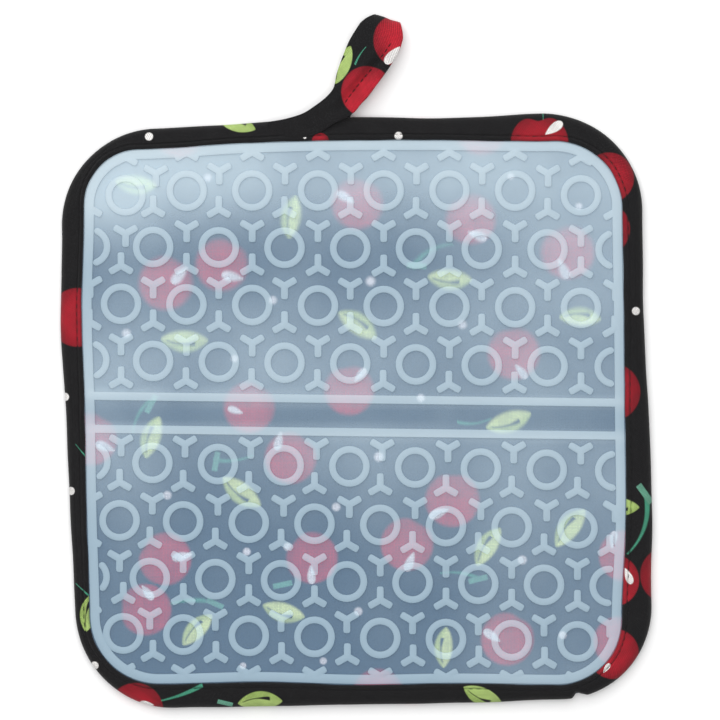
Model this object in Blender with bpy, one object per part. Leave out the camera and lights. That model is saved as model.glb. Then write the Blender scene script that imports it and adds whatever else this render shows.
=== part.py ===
"""A quilted pot holder, in metres, lying on its back with its moulded face up.

+X is to the right of the face, +Y runs towards the hanging loop and +Z leaves the
face. The origin is the middle of the underside, in the quilted cell it rests on.
Four pieces: a cotton pad with sewn channels, a silicone face with raised rings and
three-armed ribs, a cotton binding folded over the edge of both, and the binding's
tail, folded back on itself as a hanging loop.
"""

import math
from collections import namedtuple

import bmesh
import bpy
from mathutils import Matrix, Vector

Corner = namedtuple("Corner", "name x y radius")
Bow = namedtuple("Bow", "name quarter half three_quarters")
GripRow = namedtuple("GripRow", "name y middle_x tilt rings")
LoopSection = namedtuple("LoopSection", "name x y z width across")
EdgeRing = namedtuple("EdgeRing", "name outline inset z")

# Where the sides of the bound edge would meet, and how far each side bows outwards
# at a quarter, a half and three quarters of its length.
EDGE_CORNERS = (
    Corner("top_left", -0.1040, 0.0972, 0.0336),
    Corner("bottom_left", -0.0970, -0.1044, 0.0345),
    Corner("bottom_right", 0.1037, -0.1000, 0.0323),
    Corner("top_right", 0.0989, 0.1051, 0.0343),
)
EDGE_BOWS = (
    Bow("left", 0.0016, 0.0008, 0.0005),
    Bow("bottom", 0.0002, 0.0002, 0.0005),
    Bow("right", 0.0010, 0.0005, -0.0004),
    Bow("top", -0.0003, 0.0014, 0.0006),
)
# The same for the window that the binding leaves open.
WINDOW_CORNERS = (
    Corner("top_left", -0.0953, 0.0908, 0.0197),
    Corner("bottom_left", -0.0927, -0.0952, 0.0241),
    Corner("bottom_right", 0.0924, -0.0955, 0.0224),
    Corner("top_right", 0.0927, 0.0945, 0.0237),
)
WINDOW_BOWS = (
    Bow("left", 0.0013, 0.0007, 0.0006),
    Bow("bottom", -0.0008, 0.0001, -0.0004),
    Bow("right", 0.0014, 0.0010, 0.0006),
    Bow("top", 0.0010, 0.0017, 0.0014),
)
ARC_STEPS = 9
SIDE_STEPS = 12

GAP = 0.0003  # between pieces that touch
PAD_THICKNESS = 0.0042
SHEET_THICKNESS = 0.0009
RIB_HEIGHT = 0.0008
TAPE_THICKNESS = 0.0008
SHEET_BOTTOM = PAD_THICKNESS + GAP
SHEET_TOP = SHEET_BOTTOM + SHEET_THICKNESS
RIB_TOP = SHEET_TOP + RIB_HEIGHT
RIB_ROOT = SHEET_TOP - 0.0003  # ribs start a little inside the sheet they rise from
BINDING_THICKNESS = SHEET_TOP + GAP + TAPE_THICKNESS

NOSE_DEPTH = 0.0026  # from the binding's outer edge to where its legs run flat
NOSE_STEPS = 5
SHEET_INSET = 0.0025  # from the binding's outer edge to the silicone's own edge

# The pad's side, from its top edge round to the flat it rests on. An inset is taken
# inwards from the bound edge or from the binding's window.
PAD_RINGS = (
    EdgeRing("top", "edge", 0.0024, PAD_THICKNESS),
    EdgeRing("upper_side", "edge", 0.0017, 0.0036),
    EdgeRing("middle", "edge", 0.0015, 0.0027),
    EdgeRing("lower_side", "edge", 0.0018, 0.0017),
    EdgeRing("pressed_edge", "edge", 0.0027, TAPE_THICKNESS + GAP),
    EdgeRing("beside_binding", "window", 0.0005, TAPE_THICKNESS + GAP),
    EdgeRing("swell", "window", 0.0018, 0.0004),
    EdgeRing("rest", "window", 0.0044, 0.0),
)

CHANNEL_PITCH = 0.032
CHANNEL_COUNT = 6
CHANNEL_LENGTH = 0.27
CHANNEL_DEPTH = 0.0009
CHANNEL_HALF_WIDTH = 0.0019
CHANNEL_SHOULDER = 0.6  # height of the bend in a channel's side, as a share of its depth
CHANNEL_SLOPE = 1.45  # run over rise of a channel's side
CHANNEL_UNDERCUT = 0.001  # how far the cutter reaches below the underside

RING_PITCH = 0.0229
RING_OUTER = 0.00715
RING_INNER = 0.00470
RING_SIDES = 10
ARM_LENGTH = 0.0044
ARM_HALF_WIDTH = 0.00115
ARM_TIP_SHARE = 0.8  # width of an arm at its tip, as a share of its width
RIM_GAP = GAP
RIM_WIDTH = 0.0033
BAR_WIDTH = 0.0030
BAR_LENGTH = 0.2
BAR_TILT = -0.75  # degrees
BAR_MIDDLES = ((-0.0020, 0.0041), (-0.0020, -0.0074))
# Rows of rings from the top: height and middle at the centre, slope in degrees, and
# the number of rings, those that the rim cuts in half included.
UPPER_ROWS = (
    GripRow("first", 0.0768, -0.0020, 0.0, 8),
    GripRow("second", 0.0567, -0.0022, -0.35, 9),
    GripRow("third", 0.0366, -0.0020, -0.5, 8),
    GripRow("fourth", 0.0165, -0.0022, -0.75, 9),
)
LOWER_ROWS = (
    GripRow("fifth", -0.0193, -0.0025, -1.0, 9),
    GripRow("sixth", -0.0395, -0.0032, -1.0, 8),
    GripRow("seventh", -0.0594, -0.0034, -1.0, 9),
    GripRow("eighth", -0.0789, -0.0032, -1.0, 8),
)
ROW_PITCH = 0.0200
TO_CENTROID = 2 / 3  # of a row's pitch, from a ring to the rib straight above or below
BETWEEN_RINGS = 1 / 3  # of a row's pitch, from a row's line to the ribs between rings
STEM_DOWN = -90.0
STEM_UP = 90.0

LOOP_THICKNESS = 0.0012
LOOP_BEVEL = 0.0005
SECTIONS_PER_SPAN = 3
TURN_STEPS = 6
# Sections of the strip's middle line, its width, and the direction across it in
# degrees from +X. The front strand rises from the bound edge to the fold.
FRONT_STRAND = (
    LoopSection("root", -0.0252, 0.0977, 0.0074, 0.0074, -87),
    LoopSection("over_binding", -0.0168, 0.0999, 0.0074, 0.0088, -60),
    LoopSection("leaving_edge", -0.0115, 0.1031, 0.0074, 0.0092, -44),
    LoopSection("clear_of_edge", -0.0074, 0.1082, 0.0075, 0.0080, -38),
    LoopSection("narrow", -0.0048, 0.1116, 0.0076, 0.0076, -30),
    LoopSection("widening", -0.0017, 0.1164, 0.0076, 0.0100, -20),
    LoopSection("wide", 0.0012, 0.1221, 0.0076, 0.0125, -21),
    LoopSection("upper", 0.0045, 0.1272, 0.0076, 0.0138, -22),
    LoopSection("before_fold", 0.0072, 0.1318, 0.0075, 0.0132, -24),
)
BACK_STRAND = (
    LoopSection("after_fold", 0.0092, 0.1311, 0.0008, 0.0126, -24),
    LoopSection("back_upper", 0.0088, 0.1270, 0.0008, 0.0118, -24),
    LoopSection("back_wide", 0.0073, 0.1224, 0.0008, 0.0106, -30),
    LoopSection("back_middle", 0.0045, 0.1172, 0.0008, 0.0096, -35),
    LoopSection("back_narrow", 0.0010, 0.1118, 0.0008, 0.0088, -39),
    LoopSection("back_lower", -0.0028, 0.1080, 0.0008, 0.0084, -38),
    LoopSection("end", -0.0052, 0.1046, 0.0008, 0.0080, -30),
)


# ---------------------------------------------------------------- outlines


def left_of(direction):
    return Vector((-direction.y, direction.x))


def turned(vector, angle):
    return Matrix.Rotation(angle, 2) @ vector


def bow_at(bow, share):
    """How far a side bows out at a share of its length, level at both its ends."""
    heights = (0.0, bow.quarter, bow.half, bow.three_quarters, 0.0)
    inner_slopes = [(heights[i + 1] - heights[i - 1]) / 2 for i in (1, 2, 3)]
    slopes = (0.0, *inner_slopes, 0.0)
    span = min(int(share * 4), 3)
    u = share * 4 - span
    return (
        heights[span] * (1 + 2 * u) * (1 - u) ** 2
        + slopes[span] * u * (1 - u) ** 2
        + heights[span + 1] * u**2 * (3 - 2 * u)
        + slopes[span + 1] * u**2 * (u - 1)
    )


def rounded_outline(corners, bows):
    """Points of a rounded four-sided outline, anticlockwise from its first corner."""
    meets = [Vector((corner.x, corner.y)) for corner in corners]
    runs = [(meets[(i + 1) % 4] - meets[i]).normalized() for i in range(4)]
    arcs = []
    for i, corner in enumerate(corners):
        arriving, leaving = runs[i - 1], runs[i]
        turn = math.atan2(arriving.cross(leaving), arriving.dot(leaving))
        start = meets[i] - arriving * corner.radius * math.tan(turn / 2)
        centre = start + left_of(arriving) * corner.radius
        angles = [turn * step / ARC_STEPS for step in range(ARC_STEPS + 1)]
        arcs.append([centre + turned(start - centre, angle) for angle in angles])
    points = []
    for i, bow in enumerate(bows):
        first, last = arcs[i][-1], arcs[(i + 1) % 4][0]
        points += arcs[i]
        for step in range(1, SIDE_STEPS):
            share = step / SIDE_STEPS
            points.append(first.lerp(last, share) - left_of(runs[i]) * bow_at(bow, share))
    return points


def inset(points, distance):
    """The outline moved inwards, square to itself at each point."""
    moved = []
    for i, point in enumerate(points):
        along = (points[(i + 1) % len(points)] - points[i - 1]).normalized()
        moved.append(point + left_of(along) * distance)
    return moved


def at_height(points, z):
    return [Vector((point.x, point.y, z)) for point in points]


# ---------------------------------------------------------------- meshes


def new_object(name, bm, material, collection):
    """The mesh as an object whose faces point outwards."""
    bmesh.ops.recalc_face_normals(bm, faces=bm.faces)
    mesh = bpy.data.meshes.new(name)
    bm.to_mesh(mesh)
    bm.free()
    made = bpy.data.objects.new(name, mesh)
    collection.objects.link(made)
    if material:
        mesh.materials.append(material)
    return made


def helper(name, bm, collection):
    """A cutter or an added form, which only its modifiers show."""
    made = new_object(name, bm, None, collection)
    made.hide_render = True
    made.display_type = "WIRE"
    return made


def lofted(rings, endless=False):
    """A closed skin through rings of equally many points, endless or with flat caps."""
    bm = bmesh.new()
    rows = [[bm.verts.new(point) for point in ring] for ring in rings]
    pairs = list(zip(rows, rows[1:]))
    if endless:
        pairs.append((rows[-1], rows[0]))
    else:
        bm.faces.new(rows[0])
        bm.faces.new(rows[-1])
    for near, far in pairs:
        for i in range(len(near)):
            bm.faces.new((near[i - 1], near[i], far[i], far[i - 1]))
    return bm


def extruded(bm, height):
    """Raises every flat face of the mesh into a closed solid of this height."""
    made = bmesh.ops.extrude_face_region(bm, geom=bm.faces[:])
    tops = [part for part in made["geom"] if isinstance(part, bmesh.types.BMVert)]
    bmesh.ops.translate(bm, verts=tops, vec=(0, 0, height))


def add_boolean(made, operation, other):
    modifier = made.modifiers.new(f"{operation.title()} {other.name}", "BOOLEAN")
    modifier.operation = operation
    modifier.object = other


def principled(name, color, roughness, alpha=1.0):
    material = bpy.data.materials.new(name)
    material.use_nodes = True
    shader = material.node_tree.nodes["Principled BSDF"]
    shader.inputs["Base Color"].default_value = (*color, 1.0)
    shader.inputs["Roughness"].default_value = roughness
    shader.inputs["Metallic"].default_value = 0.0
    shader.inputs["Alpha"].default_value = alpha
    material.diffuse_color = (*color, alpha)
    return material


# ---------------------------------------------------------------- cotton pad


def channel_cutters(angle):
    """Parallel channels across the underside, with a cell between them at the origin."""
    reach = CHANNEL_HALF_WIDTH + CHANNEL_SLOPE * CHANNEL_UNDERCUT
    shoulder = CHANNEL_DEPTH * CHANNEL_SHOULDER
    shoulder_width = CHANNEL_HALF_WIDTH - CHANNEL_SLOPE * shoulder
    section = (
        (-reach, -CHANNEL_UNDERCUT),
        (reach, -CHANNEL_UNDERCUT),
        (shoulder_width, shoulder),
        (0.0, CHANNEL_DEPTH),
        (-shoulder_width, shoulder),
    )
    bm = bmesh.new()
    for number in range(CHANNEL_COUNT):
        across = (number - (CHANNEL_COUNT - 1) / 2) * CHANNEL_PITCH
        ends = []
        for along in (-CHANNEL_LENGTH / 2, CHANNEL_LENGTH / 2):
            ends.append([bm.verts.new((across + x, along, z)) for x, z in section])
        for end in ends:
            bm.faces.new(end)
        for i in range(len(section)):
            bm.faces.new((ends[0][i - 1], ends[0][i], ends[1][i], ends[1][i - 1]))
    bmesh.ops.rotate(bm, verts=bm.verts, matrix=Matrix.Rotation(math.radians(angle), 3, "Z"))
    return bm


def make_pad(outlines, material, parts, helpers):
    rings = [at_height(inset(outlines[row.outline], row.inset), row.z) for row in PAD_RINGS]
    pad = new_object("quilted_pad", lofted(rings), material, parts)
    for name, angle in (("channels_rising", 45), ("channels_falling", -45)):
        add_boolean(pad, "DIFFERENCE", helper(name, channel_cutters(angle), helpers))
    return pad


# ---------------------------------------------------------------- silicone face


def row_point(row, along):
    """A point of a row's line, this far from the row's middle."""
    slope = math.radians(row.tilt)
    return Vector((row.middle_x + along * math.cos(slope), row.y + along * math.sin(slope)))


def ring_offsets(count):
    return [(i - (count - 1) / 2) * RING_PITCH for i in range(count)]


def add_ring(bm, centre):
    """A flat ring, as quads between its inner and outer polygon."""
    turns = [math.tau * (i + 0.5) / RING_SIDES for i in range(RING_SIDES)]
    loops = []
    for radius in (RING_INNER, RING_OUTER):
        points = [centre + Vector((math.cos(t), math.sin(t))) * radius for t in turns]
        loops.append([bm.verts.new(point) for point in at_height(points, RIB_ROOT)])
    inner, outer = loops
    for i in range(RING_SIDES):
        bm.faces.new((inner[i - 1], outer[i - 1], outer[i], inner[i]))


def add_three_arms(bm, centre, stem_angle):
    """A flat three-armed rib, one arm along the stem's direction."""
    points = []
    crotch = ARM_HALF_WIDTH / math.sin(math.radians(60))
    for number in range(3):
        along = turned(Vector((1, 0)), math.radians(stem_angle + 120 * number))
        side = left_of(along) * ARM_HALF_WIDTH * ARM_TIP_SHARE
        points += [centre + along * ARM_LENGTH - side, centre + along * ARM_LENGTH + side]
        points.append(centre + turned(along, math.radians(60)) * crotch)
    bm.faces.new([bm.verts.new(point) for point in at_height(points, RIB_ROOT)])


def add_bar(bm, middle):
    along = turned(Vector((1, 0)), math.radians(BAR_TILT)) * BAR_LENGTH / 2
    up = left_of(along).normalized() * BAR_WIDTH / 2
    middle = Vector(middle)
    points = [middle - along - up, middle + along - up, middle + along + up, middle - along + up]
    bm.faces.new([bm.verts.new(point) for point in at_height(points, RIB_ROOT)])


def add_block_of_rows(bm, rows, above_first, below_last):
    """Rings in staggered rows, and a three-armed rib in each triangle of rings.

    Towards a bar only the ribs between the rings fit; towards the rim those above
    or below each ring run into it.
    """
    up = Vector((0, ROW_PITCH))
    for row in rows:
        centres = [row_point(row, along) for along in ring_offsets(row.rings)]
        gaps = [row_point(row, along) for along in ring_offsets(row.rings + 1)[1:-1]]
        for centre in centres:
            add_ring(bm, centre)
            if row is not rows[0] or above_first == "rim":
                add_three_arms(bm, centre + up * TO_CENTROID, STEM_UP)
            if row is not rows[-1] or below_last == "rim":
                add_three_arms(bm, centre - up * TO_CENTROID, STEM_DOWN)
        for gap in gaps:
            if row is rows[0]:
                add_three_arms(bm, gap + up * BETWEEN_RINGS, STEM_DOWN)
            if row is rows[-1]:
                add_three_arms(bm, gap - up * BETWEEN_RINGS, STEM_UP)


def make_grip(outlines, material, parts, helpers):
    sheet = bmesh.new()
    edge = inset(outlines["edge"], SHEET_INSET)
    sheet.faces.new([sheet.verts.new(point) for point in at_height(edge, SHEET_BOTTOM)])
    extruded(sheet, SHEET_THICKNESS)
    grip = new_object("silicone_grip", sheet, material, parts)

    rim_outside = inset(outlines["window"], RIM_GAP)
    rim_inside = inset(outlines["window"], RIM_GAP + RIM_WIDTH)
    rim = bmesh.new()
    loops = []
    for points in (rim_inside, rim_outside):
        loops.append([rim.verts.new(point) for point in at_height(points, RIB_ROOT)])
    inner, outer = loops
    for i in range(len(inner)):
        rim.faces.new((inner[i - 1], outer[i - 1], outer[i], inner[i]))
    extruded(rim, RIB_TOP - RIB_ROOT)

    relief = bmesh.new()
    add_block_of_rows(relief, UPPER_ROWS, above_first="rim", below_last="bar")
    add_block_of_rows(relief, LOWER_ROWS, above_first="bar", below_last="rim")
    for middle in BAR_MIDDLES:
        add_bar(relief, middle)
    extruded(relief, RIB_TOP - RIB_ROOT)

    # Ribs that run into the rim end under the middle of its width.
    limit = bmesh.new()
    limit_points = at_height(inset(outlines["window"], RIM_GAP + RIM_WIDTH / 2), RIB_ROOT - GAP)
    limit.faces.new([limit.verts.new(point) for point in limit_points])
    extruded(limit, RIB_TOP - RIB_ROOT + 2 * GAP)

    relief_ribs = helper("relief_ribs", relief, helpers)
    add_boolean(relief_ribs, "INTERSECT", helper("relief_limit", limit, helpers))
    add_boolean(grip, "UNION", helper("relief_rim", rim, helpers))
    add_boolean(grip, "UNION", relief_ribs)
    return grip


# ---------------------------------------------------------------- binding


def binding_section(outside, window):
    """The folded strip cut across: two flat legs joined by a rounded nose."""
    inwards = (window - outside).normalized()
    width = (window - outside).length
    middle = BINDING_THICKNESS / 2
    angles = [math.pi / 2 - math.pi * i / NOSE_STEPS for i in range(NOSE_STEPS + 1)]
    section = []
    for thickness, order in ((0.0, angles), (TAPE_THICKNESS, angles[::-1])):
        half_height = middle - thickness
        depth = NOSE_DEPTH - thickness
        round_nose = [
            (NOSE_DEPTH - depth * math.cos(angle), middle + half_height * math.sin(angle))
            for angle in order
        ]
        first_z, last_z = round_nose[0][1], round_nose[-1][1]
        section += [(width, first_z), *round_nose, (width, last_z)]
    points = []
    for distance, z in section:
        flat = outside + inwards * distance
        points.append(Vector((flat.x, flat.y, z)))
    return points


def make_binding(outlines, material, parts):
    sections = [
        binding_section(outside, window)
        for outside, window in zip(outlines["edge"], outlines["window"])
    ]
    return new_object("edge_binding", lofted(sections, endless=True), material, parts)


# ---------------------------------------------------------------- hanging loop


def smooth_rows(rows):
    """The rows with more between them, read from a smooth curve through each column."""
    values = [Vector(row[1:]) for row in rows]
    values = [2 * values[0] - values[1], *values, 2 * values[-1] - values[-2]]
    found = []
    for before, start, end, after in zip(values, values[1:], values[2:], values[3:]):
        for step in range(SECTIONS_PER_SPAN):
            u = step / SECTIONS_PER_SPAN
            found.append(
                0.5
                * (
                    2 * start
                    + (end - before) * u
                    + (2 * before - 5 * start + 4 * end - after) * u**2
                    + (3 * start - before - 3 * end + after) * u**3
                )
            )
    found.append(values[-2])
    return found


def turn_rows(front, back):
    """The rows of the round fold that carries the strip from its front to its back."""
    radius = (front[2] - back[2]) / 2
    across = math.radians((front[4] + back[4]) / 2)
    forward = Vector((-math.sin(across), math.cos(across))) * radius
    found = []
    for step in range(1, TURN_STEPS):
        angle = math.pi * step / TURN_STEPS
        row = front.lerp(back, (1 - math.cos(angle)) / 2)
        row[0] += forward.x * math.sin(angle)
        row[1] += forward.y * math.sin(angle)
        found.append(row)
    return found


def strip_section(middle, along, across, width):
    """Eight corners of the flat strip, cut square to its run."""
    normal = across.cross(along).normalized()
    half, flat = width / 2, width / 2 - LOOP_BEVEL
    thick, thin = LOOP_THICKNESS / 2, LOOP_THICKNESS / 2 - LOOP_BEVEL / 2
    corners = (
        (-half, thin),
        (-flat, thick),
        (flat, thick),
        (half, thin),
        (half, -thin),
        (flat, -thick),
        (-flat, -thick),
        (-half, -thin),
    )
    return [middle + across * side + normal * up for side, up in corners]


def make_loop(material, parts):
    front = smooth_rows(FRONT_STRAND)
    back = smooth_rows(BACK_STRAND)
    rows = front + turn_rows(front[-1], back[0]) + back
    middles = [Vector(row[:3]) for row in rows]
    sections = []
    for i, row in enumerate(rows):
        along = middles[min(i + 1, len(rows) - 1)] - middles[max(i - 1, 0)]
        angle = math.radians(row[4])
        across = Vector((math.cos(angle), math.sin(angle), 0.0))
        along -= across * along.dot(across)
        sections.append(strip_section(middles[i], along.normalized(), across, row[3]))
    return new_object("hanging_loop", lofted(sections), material, parts)


# ---------------------------------------------------------------- assembly


def main():
    for made in list(bpy.data.objects):
        bpy.data.objects.remove(made)
    parts = bpy.data.collections.new("Quilted pot holder")
    helpers = bpy.data.collections.new("Helpers")
    for collection in (parts, helpers):
        bpy.context.scene.collection.children.link(collection)

    outlines = {
        "edge": rounded_outline(EDGE_CORNERS, EDGE_BOWS),
        "window": rounded_outline(WINDOW_CORNERS, WINDOW_BOWS),
    }
    pad_cotton = principled("pad_cotton", (0.020, 0.019, 0.021), 0.92)
    tape_cotton = principled("tape_cotton", (0.020, 0.019, 0.021), 0.90)
    loop_cotton = principled("loop_cotton", (0.420, 0.018, 0.035), 0.90)
    silicone = principled("silicone", (0.42, 0.53, 0.66), 0.38, alpha=0.6)

    make_pad(outlines, pad_cotton, parts, helpers)
    make_grip(outlines, silicone, parts, helpers)
    make_binding(outlines, tape_cotton, parts)
    make_loop(loop_cotton, parts)


main()
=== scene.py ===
"""The finished look of a quilted pot holder: printed cotton, frosted silicone and thread.

Lengths are metres in the model's own frame: +X to the right of the ribbed face, +Y
towards the hanging loop, +Z out of the face, the origin in the middle of the underside.
"""

import math
from collections import namedtuple

import bmesh
import bpy
import numpy as np
from mathutils import Matrix, Vector


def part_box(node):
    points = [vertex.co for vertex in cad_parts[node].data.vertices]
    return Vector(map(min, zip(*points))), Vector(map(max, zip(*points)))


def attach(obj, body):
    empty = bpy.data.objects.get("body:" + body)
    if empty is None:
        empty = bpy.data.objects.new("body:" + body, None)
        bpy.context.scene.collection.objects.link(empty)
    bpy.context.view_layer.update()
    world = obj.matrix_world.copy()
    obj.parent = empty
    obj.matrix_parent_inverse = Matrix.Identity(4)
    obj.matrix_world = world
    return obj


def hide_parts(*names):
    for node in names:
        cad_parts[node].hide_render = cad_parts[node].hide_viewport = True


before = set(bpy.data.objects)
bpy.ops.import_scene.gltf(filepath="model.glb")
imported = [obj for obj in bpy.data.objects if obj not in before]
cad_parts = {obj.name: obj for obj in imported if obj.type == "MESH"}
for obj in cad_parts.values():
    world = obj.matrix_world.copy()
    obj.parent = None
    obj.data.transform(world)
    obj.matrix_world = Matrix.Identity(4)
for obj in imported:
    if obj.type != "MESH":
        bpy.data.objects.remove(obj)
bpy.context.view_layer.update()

bl_info = {
    "name": "Quilted pot holder",
    "version": (1, 0, 0),
    "blender": (4, 5, 0),
    "location": "View3D > Sidebar > Pot holder",
    "description": "Makes the cloth, silicone and sewing of a quilted pot holder",
    "category": "Add Mesh",
}

MM = 0.001

# ---------------------------------------------------------------- shape of the edge

Corner = namedtuple("Corner", "name x y radius")
Bow = namedtuple("Bow", "name quarter half three_quarters")

# Where the sides of the bound edge would meet, and how far each side bows outwards
# at a quarter, a half and three quarters of its length.
EDGE_CORNERS = (
    Corner("top_left", -0.1040, 0.0972, 0.0336),
    Corner("bottom_left", -0.0970, -0.1044, 0.0345),
    Corner("bottom_right", 0.1037, -0.1000, 0.0323),
    Corner("top_right", 0.0989, 0.1051, 0.0343),
)
EDGE_BOWS = (
    Bow("left", 0.0016, 0.0008, 0.0005),
    Bow("bottom", 0.0002, 0.0002, 0.0005),
    Bow("right", 0.0010, 0.0005, -0.0004),
    Bow("top", -0.0003, 0.0014, 0.0006),
)
# The same for the window that the binding leaves open.
WINDOW_CORNERS = (
    Corner("top_left", -0.0953, 0.0908, 0.0197),
    Corner("bottom_left", -0.0927, -0.0952, 0.0241),
    Corner("bottom_right", 0.0924, -0.0955, 0.0224),
    Corner("top_right", 0.0927, 0.0945, 0.0237),
)
WINDOW_BOWS = (
    Bow("left", 0.0013, 0.0007, 0.0006),
    Bow("bottom", -0.0008, 0.0001, -0.0004),
    Bow("right", 0.0014, 0.0010, 0.0006),
    Bow("top", 0.0010, 0.0017, 0.0014),
)
FINE_STEPS = (76, 236)  # steps round a corner and along a side, for the binding
COARSE_STEPS = (20, 36)

# ---------------------------------------------------------------- heights and thicknesses

PAD_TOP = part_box("quilted_pad")[1].z
SHEET_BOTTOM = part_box("silicone_grip")[0].z
RIB_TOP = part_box("silicone_grip")[1].z
BINDING_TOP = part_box("edge_binding")[1].z
SHEET_THICKNESS = 0.0009
SHEET_TOP = SHEET_BOTTOM + SHEET_THICKNESS
RIB_SINK = 0.0003
RIB_ROOT = SHEET_TOP - RIB_SINK

# ---------------------------------------------------------------- pad

PadRing = namedtuple("PadRing", "name outline inset z")
PAD_SIDE = (
    PadRing("above", "edge", 0.0024, 0.0060),
    PadRing("upper_side", "edge", 0.0020, 0.0038),
    PadRing("middle", "edge", 0.0015, 0.0027),
    PadRing("lower_side", "edge", 0.0018, 0.0017),
    PadRing("pressed_edge", "edge", 0.0027, 0.0011),
    PadRing("beside_binding", "window", 0.0004, 0.0011),
    PadRing("below", "window", 0.0004, -0.0010),
)
CHANNEL_PITCH = 0.032
CELLS_A_CHANNEL = 36  # grid steps from one channel to the next, measured along X
CELL = CHANNEL_PITCH * math.sqrt(2) / CELLS_A_CHANNEL
PAD_CELLS = 164
CHANNEL_DEPTH = 0.00075
CHANNEL_SPREAD = 0.0013
PUFF_DEPTH = 0.00035
PUFF_SPREAD = 0.005
WRINKLE = 0.00009  # height of the small creases in the back
LEAST_RISE = 0.00002  # the cloth is smooth where it rises less than this
CROSSING_SHARE = 0.3  # what the shallower channel adds where two of them cross
FACES_DOWN = -0.2  # a face of the back has a normal whose height is less than this
BACK_PRINT_SHIFT = 1.0  # keeps the back's print apart from the front's in one chart
MARGIN_START = 0.0003
MARGIN_WIDTH = 0.0052
MARGIN_HEIGHT = 0.0011

# ---------------------------------------------------------------- silicone

GripRow = namedtuple("GripRow", "name y middle_x tilt rings left_pull right_pull drop")
# Rows of rings from the top: height and middle at the centre, slope in degrees, number
# of rings, how far the end rings are drawn inwards, and how far they sink.
UPPER_ROWS = (
    GripRow("first", 0.0768, -0.0020, 0.0, 8, 0.0017, 0.0, 0.0017),
    GripRow("second", 0.0567, -0.0022, -0.35, 9, 0.0010, -0.0008, 0.0),
    GripRow("third", 0.0366, -0.0020, -0.5, 8, 0.0001, 0.0, 0.0),
    GripRow("fourth", 0.0165, -0.0022, -0.75, 9, 0.0007, -0.0005, 0.0),
)
LOWER_ROWS = (
    GripRow("fifth", -0.0193, -0.0025, -1.0, 9, 0.0014, -0.0010, 0.0),
    GripRow("sixth", -0.0395, -0.0032, -1.0, 8, 0.0008, 0.0, 0.0),
    GripRow("seventh", -0.0594, -0.0034, -1.0, 9, 0.0020, 0.0, 0.0),
    GripRow("eighth", -0.0789, -0.0032, -1.0, 8, 0.0021, 0.0, 0.0),
)
PULL_REACH = 0.013
ROW_PITCH = 0.0200
RING_PITCH = 0.0229
RING_OUTER = 0.00715
RING_INNER = 0.00470
RING_STEPS = 40
FLAT_ALPHA = (0.21, 0.42)  # opacity of each surface where the sheet is clear and hazy
RIB_ALPHA = (0.42, 0.48)
SIDE_HIGHLIGHT_ALPHA = 0.22  # painted highlight: how much more opaque the sides of the ribs are drawn, as seen from above
RIB_ROUNDING = 0.00028
ROUNDING_MIDDLE = 0.3  # where the middle of a rounded edge lies, as a share of it
ARM_LENGTH = 0.0047
ARM_HALF_WIDTH = 0.00126
TIP_STEPS = 8
TIP_SQUARENESS = 0.62
TIP_SHAPE = ((0.5, 0.87), (0.87, 0.5), (1.0, 0.14))  # reach and width of a ring's round end
RIM_GAP = 0.0003
RIM_WIDTH = 0.0033
LEAST_CUT = 70.0  # degrees of a ring under the rim, below which the ring stays whole
LEAST_ARC = 40.0  # degrees of a cut ring, below which it is left out
ARC_STEP = 2.0
BAR_WIDTH = 0.0030
BAR_LENGTH = 0.2
BAR_TILT = -0.75
BAR_MIDDLES = ((-0.0020, 0.0041), (-0.0020, -0.0074))
BAND_MIDDLE = -0.0017  # height of the bare band between the bars, above the pad's middle
BAND_REACH = 0.0050
BAND_CLEARNESS = 0.50  # share of the haze that the band lacks
BAR_REACH = 0.0018
SHEET_INSET = 0.0025  # from the outer edge of the binding to that of the sheet under it
SHEET_CELLS = 70
SHEET_CELL = 0.003
UNEVEN_FROM = (0.003, 0.02)  # the sheet's swells grow between these distances from the binding
STEM_DOWN = -90.0
STEM_UP = 90.0

# ---------------------------------------------------------------- binding and loop

NOSE_DEPTH = 0.0034
OUTER_DROP = 0.0006  # how much lower the tape lies at its outer edge than at its sewing
NOSE_STEPS = 14
LEG_THICKNESS = 0.0008
FOLD_ROUNDING = 0.00026
FOLD_DROP = 0.0008
STITCH_LINE = 0.0019  # from the folded edge of the tape to the sewing along it
BESIDE_FOLD = (0.0, 0.0001, 0.0003, 0.0006, 0.001, 0.0013, 0.0016, 0.0019, 0.0022, 0.0025)
LEG_STEPS = 7
NOSE_SHARE = 0.42  # the most of the tape's width that its round edge takes up
PUCKER_REACH = 0.0011
GROOVE_REACH = 0.00034
SWELL_CHANGE = 0.45  # how much the tape's swell varies along it
CROWN_SHARE = 0.55  # swell outside the sewing, as a share of that of the hem
GROOVE_EASE = 0.25  # how much shallower the groove is between two stitches
LOWER_GROOVE = 0.5  # depth of the groove below, as a share of that above
# Inside the fold: how far in from the outer edge its upper leg, turn and lower leg lie.
HOLLOW_DEPTHS = (0.0032, 0.0015, 0.0034)
LIP = 0.0001  # what the tape's cut edge slants
OUTER_WAVER = 0.00012  # how far the tape's edges wander from their outlines
INNER_WAVER = 0.0001
# The notch in the bottom edge, where the two ends of the tape meet.
NOTCH_AT = (0.0780, -0.1000)
NOTCH_DEPTH = 0.0021
NOTCH_HALF_WIDTH = 0.0024
NOTCH_REACH = 0.0021

LoopRow = namedtuple(
    "LoopRow", "name left_x left_y right_x right_y z valley depth", defaults=(0.5, 0.0)
)
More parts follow.
